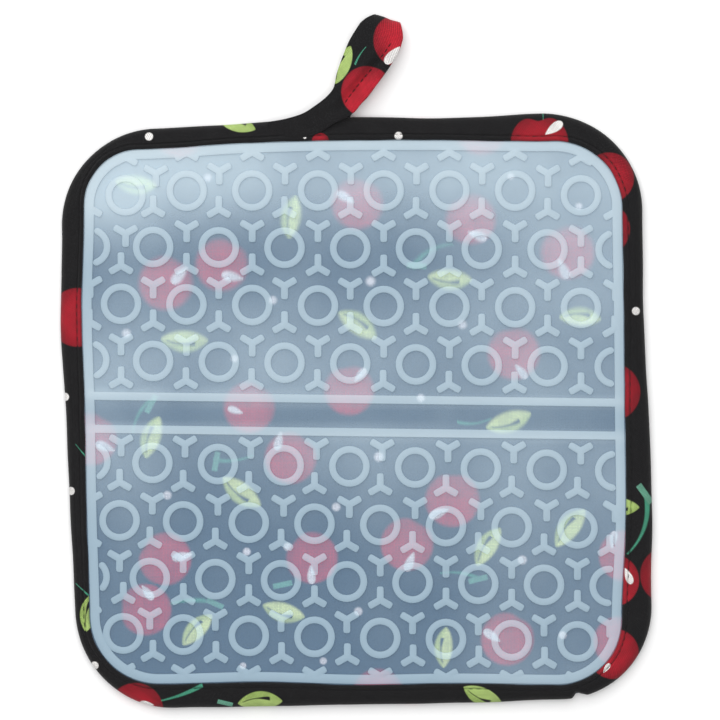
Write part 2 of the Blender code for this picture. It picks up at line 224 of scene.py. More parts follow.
# The tape of the loop, in millimetres: its two edges seen from above, its height, and
# where across it and how deep its lengthwise fold lies.
FRONT_TAPE = (
    LoopRow("root", -31.0, 100.7, -30.0, 94.2, 5.3),
    LoopRow("rising", -24.3, 101.9, -21.6, 94.6, 6.1),
    LoopRow("over_binding", -18.6, 103.7, -14.0, 96.3, 6.8),
    LoopRow("leaving_edge", -14.3, 106.4, -7.9, 100.0, 7.2, 0.56, 0.3),
    LoopRow("clear_of_edge", -10.6, 109.3, -1.7, 103.2, 7.3, 0.58, 1.2),
    LoopRow("narrow", -8.0, 112.6, 1.8, 107.1, 7.4, 0.56, 2.2),
    LoopRow("widening", -6.9, 117.5, 6.2, 112.4, 7.5, 0.62, 2.8),
    LoopRow("wide", -4.6, 124.0, 11.0, 118.9, 7.5, 0.70, 2.3),
    LoopRow("upper", -2.4, 129.2, 14.6, 124.8, 7.4, 0.76, 1.2),
    LoopRow("before_fold", 0.7, 134.3, 16.1, 129.0, 7.3, 0.80, 0.5),
)
BACK_TAPE = (
    LoopRow("after_fold", 3.3, 133.6, 15.6, 129.7, 0.8),
    LoopRow("back_upper", 3.4, 129.4, 13.6, 125.0, 0.8),
    LoopRow("back_wide", 2.7, 125.1, 11.2, 120.2, 0.8),
    LoopRow("back_middle", 0.6, 119.9, 7.7, 114.9, 0.8),
    LoopRow("back_narrow", -2.4, 114.6, 3.8, 109.5, 0.8),
    LoopRow("back_lower", -6.1, 110.6, 0.0, 105.8, 0.8),
    LoopRow("end", -8.7, 106.6, -2.1, 103.0, 0.9),
    LoopRow("tucked", -10.5, 103.0, -4.4, 99.5, 1.2),
)
# How far the tape reaches beyond its last row at the fold, and how far its left and its
# right edge draw in there.
FOLD_REACH = 5.1
FOLD_PINCH = (2.6, 2.3)
PINCH_SHARPNESS = 1.4
CREASE_HALF_WIDTH = 0.0026
CREASE_SHARPNESS = 0.9
EDGE_SQUARENESS = 10
# The raised edge of the tape and the furrow beside it: height, and place and reach as shares
# of half its width.
EDGE_ROLL = ((0.00014, 1.0, 0.12), (-0.00012, 0.84, 0.05))
LOOP_THICKNESS = 0.0012
LOOP_SEWN_DEPTH = 0.0007  # the loop is sewn where its crease is deeper than this
LOOP_STITCH_DEPTH = 0.93  # how far down its crease the loop's sewing lies
STITCH_SHARES = (0.12, 0.88)  # where a stitch starts and ends, as shares of its pitch
# How far a stitch's middle lies out of the cloth, over its radius.
GROOVE_SEAT = 0.6
CREASE_SEAT = 0.5
THREAD_SINK = 0.1  # sinking of the quilting thread, over its distance from its channel
QUILTING_LINES = range(-3, 3)
QUILTING_STITCHES = range(-42, 42)
QUILTING_MARGIN = 0.003  # from the binding to the first stitch of a channel
LOOP_STITCH_SHARE = 0.8  # length of a stitch of the loop over one of the binding
ROWS_A_SPAN = 9
TURN_STEPS = 16
ACROSS_STEPS = 34

# ---------------------------------------------------------------- the print

Motif = namedtuple("Motif", "kind x y size turn shape")
MOTIF_KINDS = ("cherry", "glint", "leaf", "stem", "cap", "dot")


def motifs(kind, *rows):
    """Motifs of one kind from rows of x, y, size, turn and shape, where a last 0 is left out."""
    return tuple(Motif(kind, *row, *(0, 0)[len(row) - 3 :]) for row in rows)


# Places in millimetres from the middle, seen from above. A cherry's size is its radius,
# its turn points to its cleft and its shape is the cleft's depth; a leaf's size is half
# its length and its shape the side its vein lies on; a stem's size is half its length,
# its turn points to its thick end and its shape is its bow; a glint is the drop-shaped
# highlight of a cherry, and its turn points to its wide end.
PAD_PRINT = (
    *motifs(
        "cherry",
        (0.3, 72.4, 8.8, 70, 0.10), (39.8, 66.9, 8.6, 120, 0.10), (-66.5, 44.6, 9.3, 60, 0.10),
        (-47.0, 51.0, 9.0, 60, 0.10), (73.6, 55.4, 9.2, 110, 0.10),
        (54.8, 20.1, 9.0, 100, 0.10), (-37.4, 1.2, 8.8, 60, 0.10), (-2.6, 7.2, 8.6, 100, 0.10),
        (-92.7, -9.8, 9.1, 60, 0.10), (-23.0, -16.4, 8.9, 50, 0.10),
        (33.4, -31.0, 9.4, 90, 0.10), (17.6, -46.5, 9.1, 60, 0.10),
        (-66.8, -51.6, 9.1, 150, 0.10), (-73.6, -69.3, 8.9, 180, 0.10),
        (-15.6, -51.2, 8.9, 140, 0.10), (52.6, -79.5, 9.2, 60, 0.10),
        (93.5, -50.5, 8.9, 60, 0.10), (91.5, -80.5, 8.8, 60, 0.10), (-62.0, 97.3, 8.8, 90),
        (43.5, 98.2, 8.8, 90), (7.5, -98.8, 8.8, 90),
    ),
    *motifs(
        "glint",
        (-3.7, 74.4, 3.7, 148), (42.0, 61.2, 3.7, -22), (-61.6, 47.4, 4.1, 228),
        (-43.2, 46.8, 4.0, 168), (72.0, 49.6, 3.9, -66), (57.3, 13.8, 3.3, -50),
        (-42.2, 0.1, 2.9, 160), (1.2, 12.4, 3.1, 48), (-87.6, -12.6, 3.7, 158),
        (-27.1, -10.4, 3.5, 256), (28.8, -35.6, 3.8, 202), (18.7, -52.5, 3.7, 248),
        (-60.7, -50.7, 3.8, 192), (-73.0, -63.3, 3.3, -52), (-15.8, -57.0, 3.4, -86),
        (47.3, -78.5, 3.6, 145), (89.5, -45.0, 3.2, 80),
    ),
    *motifs(
        "leaf",
        (-77.0, 79.3, 7.4, -6, -1), (-22.4, 67.6, 7.7, 81, 1), (32.5, 46.3, 7.8, -4, -1),
        (0.3, 29.9, 8.1, -35, 1), (-60.0, 24.8, 8.3, -2, -1), (78.0, 32.4, 7.4, -3, 1),
        (53.0, -3.4, 8.3, 18, -1), (-71.2, -9.2, 7.7, 72, 1), (-40.0, -28.2, 8.3, -37, -1),
        (46.0, -47.4, 7.9, 58, 1), (74.6, -40.9, 8.3, 52, 1), (-25.4, -69.8, 7.7, -16, -1),
        (-55.5, -76.4, 7.4, 46, 1), (30.8, -82.5, 7.2, 86, 1),
    ),
    *motifs(
        "stem",
        (26.5, 54.0, 8.3, 210, -0.25), (-75.0, -2.0, 6.5, 62, 0.2),
        (-60.5, -67.3, 8.0, 8, 0.12), (41.0, -3.2, 6.0, 186, 0.2),
        (-43.0, -16.2, 7.0, 186, 0.16), (36.0, -57.6, 7.0, -8, 0.16),
    ),
    *motifs(
        "cap",
        (21.0, 50.6, 3.4, -4), (-71.6, 2.4, 3.4, 62), (-49.0, -17.6, 3.4, 80),
        (42.4, -58.7, 3.4, 14), (-25.8, -60.6, 3.4, 12), (-49.4, -67.2, 3.2, -24),
    ),
    *motifs(
        "dot",
        (-51.9, 81.4, 1.3), (-80.3, 27.1, 1.4), (-29.2, 38.6, 1.3), (-42.5, 18.3, 1.2),
        (4.9, 45.2, 1.5), (36.9, 30.1, 1.4), (53.8, 81.7, 1.1), (77.5, 71.4, 1.1),
        (22.4, 4.5, 1.3), (-66.0, -29.4, 1.4), (-7.1, -33.5, 1.4), (7.8, -16.0, 1.6),
        (-38.3, -49.1, 1.3), (-24.0, -47.4, 1.4), (57.8, -52.0, 1.5), (0.6, -69.9, 1.4),
        (71.9, -78.2, 1.3), (-11.6, -87.2, 1.2), (-39.6, -88.9, 1.1),
    ),
)
EDGE_PRINT = (
    *motifs(
        "cherry",
        (63.7, 93.4, 10.0, 92, 0.24), (88.0, 81.3, 8.7, 45), (85.8, 63.4, 9.4),
        (88.8, 6.6, 10.0), (89.4, -59.0, 9.0, 105, 0.10), (108.6, -57.2, 9.8, 180),
        (89.6, -84.6, 8.8, -38, 0.14), (-97.2, 32.6, 10.2, 180), (-76.9, -104.2, 9.5, 60),
        (-12.6, 93.8, 3.0),
    ),
    *motifs(
        "glint",
        (68.6, 98.4, 3.8, 36), (94.6, -57.4, 3.1, -68), (87.0, -89.6, 2.0, 55),
        (-73.1, -102.2, 2.6, 172),
    ),
    *motifs(
        "leaf",
        (-41.6, 99.7, 6.6, -14, 1), (91.4, -32.8, 7.2, -6, -1), (-92.6, -69.9, 7.2, 76, 1),
        (-33.6, -101.5, 7.8, 3, 1), (44.0, -99.1, 7.4, -24, -1),
    ),
    *motifs(
        "cap",
        (100.5, -28.9, 3.9, -54), (-45.8, -101.8, 2.7, -14),
    ),
    *motifs(
        "stem",
        (97.6, -39.6, 10.8, 72, -0.26), (65.0, 102.2, 1.7, 90), (-61.5, -98.3, 8.4, 20, -0.08),
        (-96.0, -13.8, 3.0, -50), (-95.4, -62.3, 3.4, -42),
    ),
    *motifs(
        "dot",
        (-72.3, 95.6, 1.4), (14.6, 95.8, 1.4), (-18.0, 95.2, 0.5), (97.3, 34.8, 1.4),
        (-101.6, 4.9, 1.4), (-99.6, -27.9, 1.4), (-91.3, -88.7, 1.4),
    ),
    # Beyond the outline, so on the part of the tape that lies under the pad.
    *motifs(
        "cherry",
        (22.0, 112.5, 8.8, 60, 0.1), (-62.0, 112.5, 8.8, 120, 0.1),
        (113.0, 32.0, 8.8, 150, 0.1), (20.0, -112.5, 8.8, 240, 0.1),
        (-112.0, -40.0, 8.8, 10, 0.1),
    ),
    *motifs(
        "leaf",
        (60.0, 114.5, 7.6, 14, 1), (113.5, -14.0, 7.6, 82, -1), (-8.0, -113.5, 7.6, 8, 1),
        (-111.5, 66.0, 7.6, 96, -1),
    ),
    *motifs(
        "dot",
        (-20.0, 112.0, 1.4), (112.0, 62.0, 1.4), (62.0, -112.0, 1.4), (-111.0, -2.0, 1.4),
    ),
)
LOOP_PRINT = (
    *motifs(
        "cherry",
        (15.4, 129.1, 9.5, 200), (3.6, 111.1, 8.9, 90),
    ),
    *motifs(
        "glint",
        (12.6, 123.9, 4.0, 229),
    ),
    *motifs(
        "leaf",
        (-4.7, 120.4, 7.1, 68, 1),
    ),
    *motifs(
        "stem",
        (1.4, 123.6, 3.7, 238, -0.1),
    ),
)
# One spray of the print, about its own middle, and where the sprays lie on the back.
SPRAY = (
    *motifs(
        "cherry",
        (-9.5, -8.0, 9.2, 70, 0.16), (12.0, -10.5, 9.2, 105, 0.16),
    ),
    *motifs(
        "glint",
        (-5.0, -11.6, 3.6, -38), (15.0, -15.4, 3.6, -60),
    ),
    *motifs(
        "stem",
        (-4.0, 7.5, 8.4, 62, 0.18), (8.3, 7.0, 9.0, 108, -0.16),
    ),
    *motifs(
        "cap",
        (3.2, 15.6, 3.6, 12),
    ),
    *motifs(
        "leaf",
        (15.0, 12.5, 7.6, 24, 1), (-10.5, 16.0, 7.4, 155, -1),
    ),
    *motifs(
        "dot",
        (25.5, 1.5, 1.4), (-22.0, 4.0, 1.4),
    ),
)
SPRAY_PITCH = (62.0, 60.0)
SPRAY_TURNS = (12, 200, -38, 95, -10, 160, 230, 40, -75, 118, 20, 185)
SPRAY_ROWS = (-1.5, -0.5, 0.5, 1.5)
SPRAY_COLUMNS = (-1, 0, 1, 2)
NO_MOTIF = 9.0  # a place well outside any motif, in units of its size


# ================================================================ settings


def length(name, description, default):
    return bpy.props.FloatProperty(
        name=name, description=description, default=default, min=0.0, unit="LENGTH", precision=5
    )


def colour(name, description, default):
    return bpy.props.FloatVectorProperty(
        name=name, description=description, default=default, subtype="COLOR", min=0.0, max=1.0
    )


class PotHolderSizes(bpy.types.PropertyGroup):
    """Sizes of the cloth and the sewing."""

    thread_pitch: length("Thread pitch", "From one thread of the weave to the next", 0.00052)
    stitch_pitch: length("Stitch pitch", "Length of one stitch of the binding with its gap", 0.0028)
    quilting_pitch: length("Quilting pitch", "Length of one quilting stitch with its gap", 0.0034)
    stitch_radius: length("Stitch radius", "Half the thickness of the sewing thread", 0.0002)
    edge_puff: length("Edge puff", "How far the tape swells beside its sewing", 0.00036)
    groove_depth: length("Groove depth", "How far the sewing pulls the tape down", 0.0005)
    pucker_height: length("Pucker height", "Rise of the tape between two stitches", 0.00009)
    unevenness: length("Unevenness", "How far the silicone sheet rises and falls", 0.00012)


class PotHolderColours(bpy.types.PropertyGroup):
    """Colours of the print, the silicone, the thread and the floor."""

    # The covered colours are painted light: lighter copies of the print's colours, with a bluer ground,
    # drawn where the silicone lies over the print.
    covered_ground: colour("Covered ground", "Black cotton under silicone", (0.009, 0.032, 0.058))
    covered_red: colour("Covered red", "Cherry red under silicone", (0.62, 0.018, 0.045))
    covered_deep_red: colour("Covered deep red", "Deep red under silicone", (0.44, 0.012, 0.035))
    covered_leaf: colour("Covered leaf", "Leaf under silicone", (0.90, 0.98, 0.42))
    covered_leaf_shade: colour("Covered leaf shade", "Leaf shade under silicone", (0.50, 0.64, 0.17))
    covered_stem: colour("Covered stem", "Stem under silicone", (0.09, 0.42, 0.28))
    covered_white: colour("Covered white", "White of the print under silicone", (1.0, 0.93, 0.93))
    ground: colour("Ground", "Black cotton", (0.0065, 0.0062, 0.0070))
    red: colour("Cherry red", "Lit side of a printed cherry", (0.39, 0.012, 0.024))
    deep_red: colour("Deep red", "Rim of a printed cherry", (0.22, 0.007, 0.015))
    leaf: colour("Leaf", "Printed leaf", (0.42, 0.57, 0.18))
    leaf_shade: colour("Leaf shade", "Shaded side of a printed leaf", (0.27, 0.40, 0.09))
    stem: colour("Stem", "Printed stem", (0.06, 0.30, 0.19))
    white: colour("White", "Dots and highlights of the print", (0.86, 0.84, 0.82))
    sheet: colour("Silicone sheet", "Flat of the silicone", (0.265, 0.42, 0.61))
    # The hazy sheet and hazy rib colours carry the sheet's haze together with painted glare, which is most
    # towards the loop.
    haze_and_glare_sheet: colour("Hazy sheet", "Flat where the sheet lies loose", (0.71, 0.87, 0.98))
    rib: colour("Silicone rib", "Raised ribs of the silicone", (0.59, 0.80, 0.95))
    # painted highlight: the sides of the ribs are drawn near white
    rib_side_highlight: colour("Rib side", "Sides of the ribs", (0.95, 0.98, 1.0))
    haze_and_glare_rib: colour("Hazy rib", "Ribs where the sheet lies loose", (0.76, 0.91, 1.0))
    thread: colour("Thread", "Sewing thread", (0.007, 0.007, 0.008))
    floor: colour("Floor", "Surface the holder lies on", (0.93, 0.93, 0.93))


# ================================================================ outlines


def left_of(direction):
    return Vector((-direction.y, direction.x))


def turned(vector, angle):
    return Matrix.Rotation(angle, 2) @ vector


def bow_at(bow, share):
    """How far a side bows out at a share of its length, level at both its ends."""
    heights = (0.0, bow.quarter, bow.half, bow.three_quarters, 0.0)
    inner_slopes = [(heights[i + 1] - heights[i - 1]) / 2 for i in (1, 2, 3)]
    slopes = (0.0, *inner_slopes, 0.0)
    span = min(int(share * 4), 3)
    u = share * 4 - span
    return (
        heights[span] * (1 + 2 * u) * (1 - u) ** 2
        + slopes[span] * u * (1 - u) ** 2
        + heights[span + 1] * u**2 * (3 - 2 * u)
        + slopes[span + 1] * u**2 * (u - 1)
    )


def rounded_outline(corners, bows, steps):
    """Points of a rounded four-sided outline, anticlockwise from its first corner."""
    arc_steps, side_steps = steps
    meets = [Vector((corner.x, corner.y)) for corner in corners]
    runs = [(meets[(i + 1) % 4] - meets[i]).normalized() for i in range(4)]
    arcs = []
    for i, corner in enumerate(corners):
        arriving, leaving = runs[i - 1], runs[i]
        turn = math.atan2(arriving.cross(leaving), arriving.dot(leaving))
        start = meets[i] - arriving * corner.radius * math.tan(turn / 2)
        centre = start + left_of(arriving) * corner.radius
        angles = [turn * step / arc_steps for step in range(arc_steps + 1)]
        arcs.append([centre + turned(start - centre, angle) for angle in angles])
    points = []
    for i, bow in enumerate(bows):
        first, last = arcs[i][-1], arcs[(i + 1) % 4][0]
        points += arcs[i]
        for step in range(1, side_steps):
            share = step / side_steps
            points.append(first.lerp(last, share) - left_of(runs[i]) * bow_at(bow, share))
    return np.array(points)


def unit(vectors):
    return vectors / np.linalg.norm(vectors, axis=-1, keepdims=True)


def tangents(points):
    return unit(np.roll(points, -1, axis=0) - np.roll(points, 1, axis=0))


def run_along(points):
    """The distance along lines of points, from the first point of each."""
    steps = np.linalg.norm(np.diff(points, axis=-2), axis=-1)
    start = np.zeros((*steps.shape[:-1], 1))
    return np.concatenate((start, np.cumsum(steps, axis=-1)), axis=-1)


def inset(points, distance):
    """The closed outline moved inwards, square to itself at each point."""
    along = tangents(points)
    return points + np.stack((-along[:, 1], along[:, 0]), axis=1) * distance


def depth_inside(points, outline):
    """How far each point lies inside an anticlockwise outline, negative outside it."""
    along = tangents(outline)
    inwards = np.stack((-along[:, 1], along[:, 0]), axis=1)
    depths = []
    for part in np.array_split(points, max(1, len(points) // 2000)):
        away = part[:, None, :] - outline[None, :, :]
        nearest = np.argmin((away**2).sum(axis=2), axis=1)
        rows = np.arange(len(part))
        depths.append((away[rows, nearest] * inwards[nearest]).sum(axis=1))
    return np.concatenate(depths)


def outlines(steps):
    return {
        "edge": rounded_outline(EDGE_CORNERS, EDGE_BOWS, steps),
        "window": rounded_outline(WINDOW_CORNERS, WINDOW_BOWS, steps),
    }


def smooth_step(values, low, high):
    share = np.clip((values - low) / (high - low), 0.0, 1.0)
    return share * share * (3 - 2 * share)


def hump(values, reach, power=2):
    """1 at 0, falling away to both sides; a higher power gives it a flatter top."""
    return np.exp(-((values / reach) ** power))


def ripple(values, seed, waves):
    """A smooth uneven run of about -1 to 1, which repeats after one unit of its values."""
    random = np.random.default_rng(seed)
    total = np.zeros_like(values)
    for wave in waves:
        total += np.sin(math.tau * (wave * values + random.random())) * random.uniform(0.6, 1.0)
    return total / math.sqrt(len(waves))


# ================================================================ meshes


def read_all(items, name, width=1, kind=float):
    """One property of all the corners, faces or points of a mesh."""
    found = np.empty(len(items) * width, dtype=kind)
    items.foreach_get(name, found)
    return found.reshape(-1, width) if width > 1 else found


def points_of(mesh):
    return read_all(mesh.vertices, "co", 3)


def move_points(mesh, places):
    mesh.vertices.foreach_set("co", places.ravel())
    mesh.update()


def at_corners(mesh, values):
    """The value at the point of each face corner, from one value for each point."""
    return values[read_all(mesh.loops, "vertex_index", kind=np.int32)]


def only(geometry, kind):
    """The parts of one kind, a type of bmesh part."""
    return [part for part in geometry if isinstance(part, kind)]


def as_mesh(name, bm, faces_out=False):
    if faces_out:
        bmesh.ops.recalc_face_normals(bm, faces=bm.faces)
    mesh = bpy.data.meshes.new(name)
    bm.to_mesh(mesh)
    bm.free()
    return mesh


def grid_mesh(name, places, flat=None):
    """A mesh through a table of places; flat is where each of them lies on the cut cloth."""
    rows, columns = places.shape[:2]
    bm = bmesh.new()
    bmesh.ops.create_grid(bm, x_segments=columns - 1, y_segments=rows - 1, size=0.5)
    mesh = as_mesh(name, bm)
    move_points(mesh, places.reshape(-1, 3))
    if flat is not None:
        set_cloth_map(mesh, at_corners(mesh, flat.reshape(-1, 2)))
    return mesh


def set_cloth_map(mesh, corners):
    layer = mesh.uv_layers.new(name="cloth")
    layer.uv.foreach_set("vector", corners.astype(np.float32).ravel())


def close_up(mesh, capped=False):
    """Welds the seams of a mesh, caps its open ends if asked, and turns its faces out."""
    bm = bmesh.new()
    bm.from_mesh(mesh)
    bmesh.ops.remove_doubles(bm, verts=bm.verts, dist=1e-6)
    if capped:
        open_edges = [edge for edge in bm.edges if edge.is_boundary]
        bmesh.ops.holes_fill(bm, edges=open_edges, sides=0)
    bmesh.ops.recalc_face_normals(bm, faces=bm.faces)
    bm.to_mesh(mesh)
    bm.free()


def wrapped(rings):
    """The rings with their first point again at the end, so that the seam can be welded."""
    return np.concatenate((rings, rings[:, :1]), axis=1)


def solid_through(name, rings):
    """A closed solid through rings of equally many points, with flat ends."""
    mesh = grid_mesh(name, wrapped(np.array(rings)))
    close_up(mesh, capped=True)
    return mesh


def at_height(outline, z):
    return np.column_stack((outline, np.full(len(outline), z)))


def new_object(name, data):
    made = bpy.data.objects.new(name, data)
    bpy.context.scene.collection.objects.link(made)
    return made


def combined(first, operation, second):
    """The first mesh after a Boolean with the second one."""
    target, other = new_object(first.name, first), new_object(second.name, second)
    modifier = target.modifiers.new(operation.title(), "BOOLEAN")
    modifier.operation = operation
    modifier.solver = "MANIFOLD"
    modifier.object = other
    depsgraph = bpy.context.evaluated_depsgraph_get()
    mesh = bpy.data.meshes.new_from_object(target.evaluated_get(depsgraph))
    mesh.name = first.name
    for made in (target, other):
        bpy.data.objects.remove(made)
    if not mesh.polygons:
        raise RuntimeError(f"the {operation.lower()} of {first.name} came out empty")
    return mesh


def block(name, cells, cell, bottom, top):
    """A closed square block with gridded faces; bottom and top are heights or functions."""
    bm = bmesh.new()
    bmesh.ops.create_grid(bm, x_segments=cells, y_segments=cells, size=cells * cell / 2)
    made = bmesh.ops.extrude_face_region(bm, geom=bm.faces[:])
    bm.verts.index_update()
    upper = [corner.index for corner in only(made["geom"], bmesh.types.BMVert)]
    mesh = as_mesh(name, bm, faces_out=True)
    places = points_of(mesh)
    is_upper = np.zeros(len(places), dtype=bool)
    is_upper[upper] = True
    places[~is_upper, 2] = bottom(places[~is_upper, :2]) if callable(bottom) else bottom
    places[is_upper, 2] = top
    move_points(mesh, places)
    close_up(mesh)
    return mesh


def add_piece(name, mesh, material, replaces=()):
    mesh.materials.clear()
    mesh.materials.append(material)
    made = new_object(name, mesh)
    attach(made, "root")
    if replaces:
        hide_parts(*replaces)
    return made


# ================================================================ print on the cloth


def mark_motifs(mesh, flat, chart):
    """Notes at each face's corners where they lie in the motif nearest to the face.

    flat holds a place in metres for each face corner. Each kind of motif gets its own
    attribute: its two directions in units of its size, and its shape value.
    """
    starts = read_all(mesh.polygons, "loop_start", kind=np.int32)
    totals = read_all(mesh.polygons, "loop_total", kind=np.int32)
    middles = np.add.reduceat(flat, starts, axis=0) / totals[:, None]
    for kind in MOTIF_KINDS:
        chosen = [motif for motif in chart if motif.kind == kind]
        local = np.full((len(flat), 3), NO_MOTIF)
        if chosen:
            spots = np.array([(motif.x, motif.y) for motif in chosen]) * MM
            sizes = np.array([motif.size for motif in chosen]) * MM
            turns = np.radians([motif.turn for motif in chosen])
            shapes = np.array([motif.shape for motif in chosen], dtype=float)
            away = np.linalg.norm(middles[:, None, :] - spots[None, :, :], axis=2) / sizes
            which = np.repeat(np.argmin(away, axis=1), totals)
            x, y = ((flat - spots[which]) / sizes[which][:, None]).T
            cos, sin = np.cos(turns[which]), np.sin(turns[which])
            local = np.stack((x * cos + y * sin, y * cos - x * sin, shapes[which]), axis=1)
        attribute = mesh.attributes.new(f"{kind}_at", "FLOAT_VECTOR", "CORNER")
        attribute.data.foreach_set("vector", local.astype(np.float32).ravel())


def sprays():
    """The print of the back: sprays in staggered rows, seen from below."""
    placed = []
    turns = iter(SPRAY_TURNS * 2)
    for number, row in enumerate(SPRAY_ROWS):
        for column in SPRAY_COLUMNS:
            middle_x = (column - number % 2 / 2) * SPRAY_PITCH[0]
            middle_y = row * SPRAY_PITCH[1]
            turn = next(turns)
            for motif in SPRAY:
                offset = turned(Vector((motif.x, motif.y)), math.radians(turn))
                x, y = middle_x + offset.x, middle_y + offset.y
                placed.append(motif._replace(x=x, y=y, turn=motif.turn + turn))
    return placed


# ================================================================ shader building


class Term:
    """A value in a node tree; each step of arithmetic with it adds a Math node."""

    def __init__(self, graph, socket):
        self.graph = graph
        self.socket = socket

    def __add__(self, other):
        return self.graph.maths("ADD", self, other)

    def __sub__(self, other):
        return self.graph.maths("SUBTRACT", self, other)

    def __rsub__(self, other):
        return self.graph.maths("SUBTRACT", other, self)

    def __mul__(self, other):
        return self.graph.maths("MULTIPLY", self, other)

    def __truediv__(self, other):
        return self.graph.maths("DIVIDE", self, other)

    def __pow__(self, other):
        return self.graph.maths("POWER", self, other)

    def __abs__(self):
        return self.graph.maths("ABSOLUTE", self)

    def at_least(self, other):
        return self.graph.maths("MAXIMUM", self, other)

    def at_most(self, other):
        return self.graph.maths("MINIMUM", self, other)

    def is_over(self, other):
        return self.graph.maths("GREATER_THAN", self, other)

    def is_under(self, other):
        return self.graph.maths("LESS_THAN", self, other)


class Graph:
    """Adds nodes to one tree, so that a formula is read as a formula."""

    def __init__(self, tree):
        self.tree = tree

    def feed(self, node, inputs):
        for key, value in inputs.items():
            socket = node.inputs[key]
            if isinstance(value, Term):
                self.tree.links.new(value.socket, socket)
            elif socket.type == "RGBA":
                socket.default_value = (*value, 1.0)
            else:
                socket.default_value = value

    def add(self, kind, inputs=None, **settings):
        made = self.tree.nodes.new(kind)
        for name, value in settings.items():
            setattr(made, name, value)
        self.feed(made, inputs or {})
        return made

    def term(self, kind, inputs=None, output=0, **settings):
        """One output of a new node."""
        return Term(self, self.add(kind, inputs, **settings).outputs[output])

    def group(self, name, build, inputs):
        """The outputs of a node group, which is built when it is first asked for."""
        tree = bpy.data.node_groups.get(name) or build()
        return self.named(self.add("ShaderNodeGroup", inputs, node_tree=tree).outputs)

    def named(self, sockets):
        return {socket.name: Term(self, socket) for socket in sockets if socket.name}

    def maths(self, operation, *values):
        return self.term("ShaderNodeMath", dict(enumerate(values)), operation=operation)

    def length(self, x, y):
        return self.maths("SQRT", x * x + y * y)

    def parts(self, vector):
        made = self.add("ShaderNodeSeparateXYZ", {0: vector})
        return [Term(self, socket) for socket in made.outputs]

    def place(self):
        """Where a point lies, in the piece's own metres."""
        return self.term("ShaderNodeTexCoord", output="Object")

    def attribute(self, name, output="Vector"):
        return self.term("ShaderNodeAttribute", output=output, attribute_name=name)

    def ramp(self, value, low, high, start=0.0, end=1.0):
        names = ("Value", "From Min", "From Max", "To Min", "To Max")
        inputs = dict(zip(names, (value, low, high, start, end)))
        return self.term("ShaderNodeMapRange", inputs, interpolation_type="SMOOTHSTEP")

    def below(self, value, softness):
        """1 where the value is under zero and 0 over it, soft this far to each side."""
        return self.ramp(value, softness * -1.0, softness, 1.0, 0.0)

    def mix(self, factor, first, second):
        return self.term("ShaderNodeMix", {0: factor, 6: first, 7: second}, 2, data_type="RGBA")

    def scaled(self, colour, factor):
        return self.term("ShaderNodeVectorMath", {0: colour, "Scale": factor}, operation="SCALE")

    def noise(self, vector, scale, detail=2.0):
        inputs = {"Vector": vector, "Scale": scale, "Detail": detail}
        return self.term("ShaderNodeTexNoise", inputs, "Fac")

    def bump(self, height, strength, distance):
        inputs = {"Height": height, "Strength": strength, "Distance": distance}
        return self.term("ShaderNodeBump", inputs, "Normal")


def new_group(name, inputs, outputs):
    """An empty node group; inputs and outputs are (name, kind) pairs."""
    tree = bpy.data.node_groups.new(name, "ShaderNodeTree")
    for in_out, sockets in (("INPUT", inputs), ("OUTPUT", outputs)):
        for label, kind in sockets:
            tree.interface.new_socket(name=label, in_out=in_out, socket_type=f"NodeSocket{kind}")
    graph = Graph(tree)
    given = graph.named(graph.add("NodeGroupInput").outputs)
    return graph, given, graph.add("NodeGroupOutput")


# ---------------------------------------------------------------- shapes of the motifs

# Widths and distances are in units of a motif's size.
CLEFT_SHARPNESS = 14.0
CHERRY_SHADE = (0.5, 1.3)
SHADE_LEAN = 0.3  # how much further the dark side reaches towards the cleft
GLINT_WIDTH = 1.08
GLINT_LEAST_WIDTH = 0.03
GLINT_SOFTNESS = 1.5  # of its edge, over that of the other motifs
DOT_SOFTNESS = 4.0
VEIN_SOFTNESS = 0.8
LEAF_BEND = 0.07
LEAF_POINT = 0.85
LEAF_HALF_WIDTH = 0.43
LEAF_SHADE_SOFTNESS = 0.12
VEIN_BOW = 0.24
VEIN_OFFSET = 0.05
VEIN_HALF_WIDTHS = (0.018, 0.085)
VEIN_WIDENS = (-0.2, 0.42)
VEIN_STARTS = (-0.85, -0.7)
VEIN_ENDS = (0.42, 0.48)
STEM_HALF_WIDTHS = (0.028, 0.085)
CAP_HALF_WIDTH = 0.28
CAP_PALENESS = (0.25, 0.35)
LEAF_SHADE_SHARE = 0.55


def cherry_masks(graph, softness):
    """Where a cherry and its darker side lie."""
    u, v, cleft = graph.parts(graph.attribute("cherry_at"))
    radius = graph.length(u, v)
    towards_cleft = u / radius.at_least(0.001)
    dip = towards_cleft.at_least(0.0) ** CLEFT_SHARPNESS
    fruit = graph.below(radius - (1.0 - dip * cleft), softness)
    return fruit, graph.ramp(u * SHADE_LEAN + radius, *CHERRY_SHADE)


def glint_mask(graph, softness):
    """Where the drop-shaped highlight of a cherry lies."""
    u, v, _ = graph.parts(graph.attribute("glint_at"))
    share = (u * 0.5 + 0.5).at_least(0.0).at_most(1.0)
    half_width = share * graph.maths("SQRT", 1.0 - share) * GLINT_WIDTH
    drop = graph.below(abs(v) - half_width, softness * GLINT_SOFTNESS)
    return drop * half_width.is_over(GLINT_LEAST_WIDTH)


def leaf_masks(graph, softness):
    """Where a leaf, its shaded side and its dark vein lie."""
    u, v, side = graph.parts(graph.attribute("leaf_at"))
    narrowing = (1.0 - u * u).at_least(0.0)
    across = v - narrowing * (side * LEAF_BEND)
    half_width = narrowing**LEAF_POINT * LEAF_HALF_WIDTH
    leaf = graph.below(abs(across) - half_width, softness) * abs(u).is_under(1.0)
    from_vein = v - side * (narrowing * VEIN_BOW - VEIN_OFFSET)
    thickness = graph.ramp(u, *VEIN_WIDENS, *VEIN_HALF_WIDTHS)
    vein = graph.below(abs(from_vein) - thickness, softness * VEIN_SOFTNESS)
    in_length = graph.ramp(u, *VEIN_STARTS) * graph.ramp(u, *VEIN_ENDS, 1.0, 0.0)
    shade = graph.below(from_vein * (side * -1.0), LEAF_SHADE_SOFTNESS)
    return leaf, shade, vein * in_length


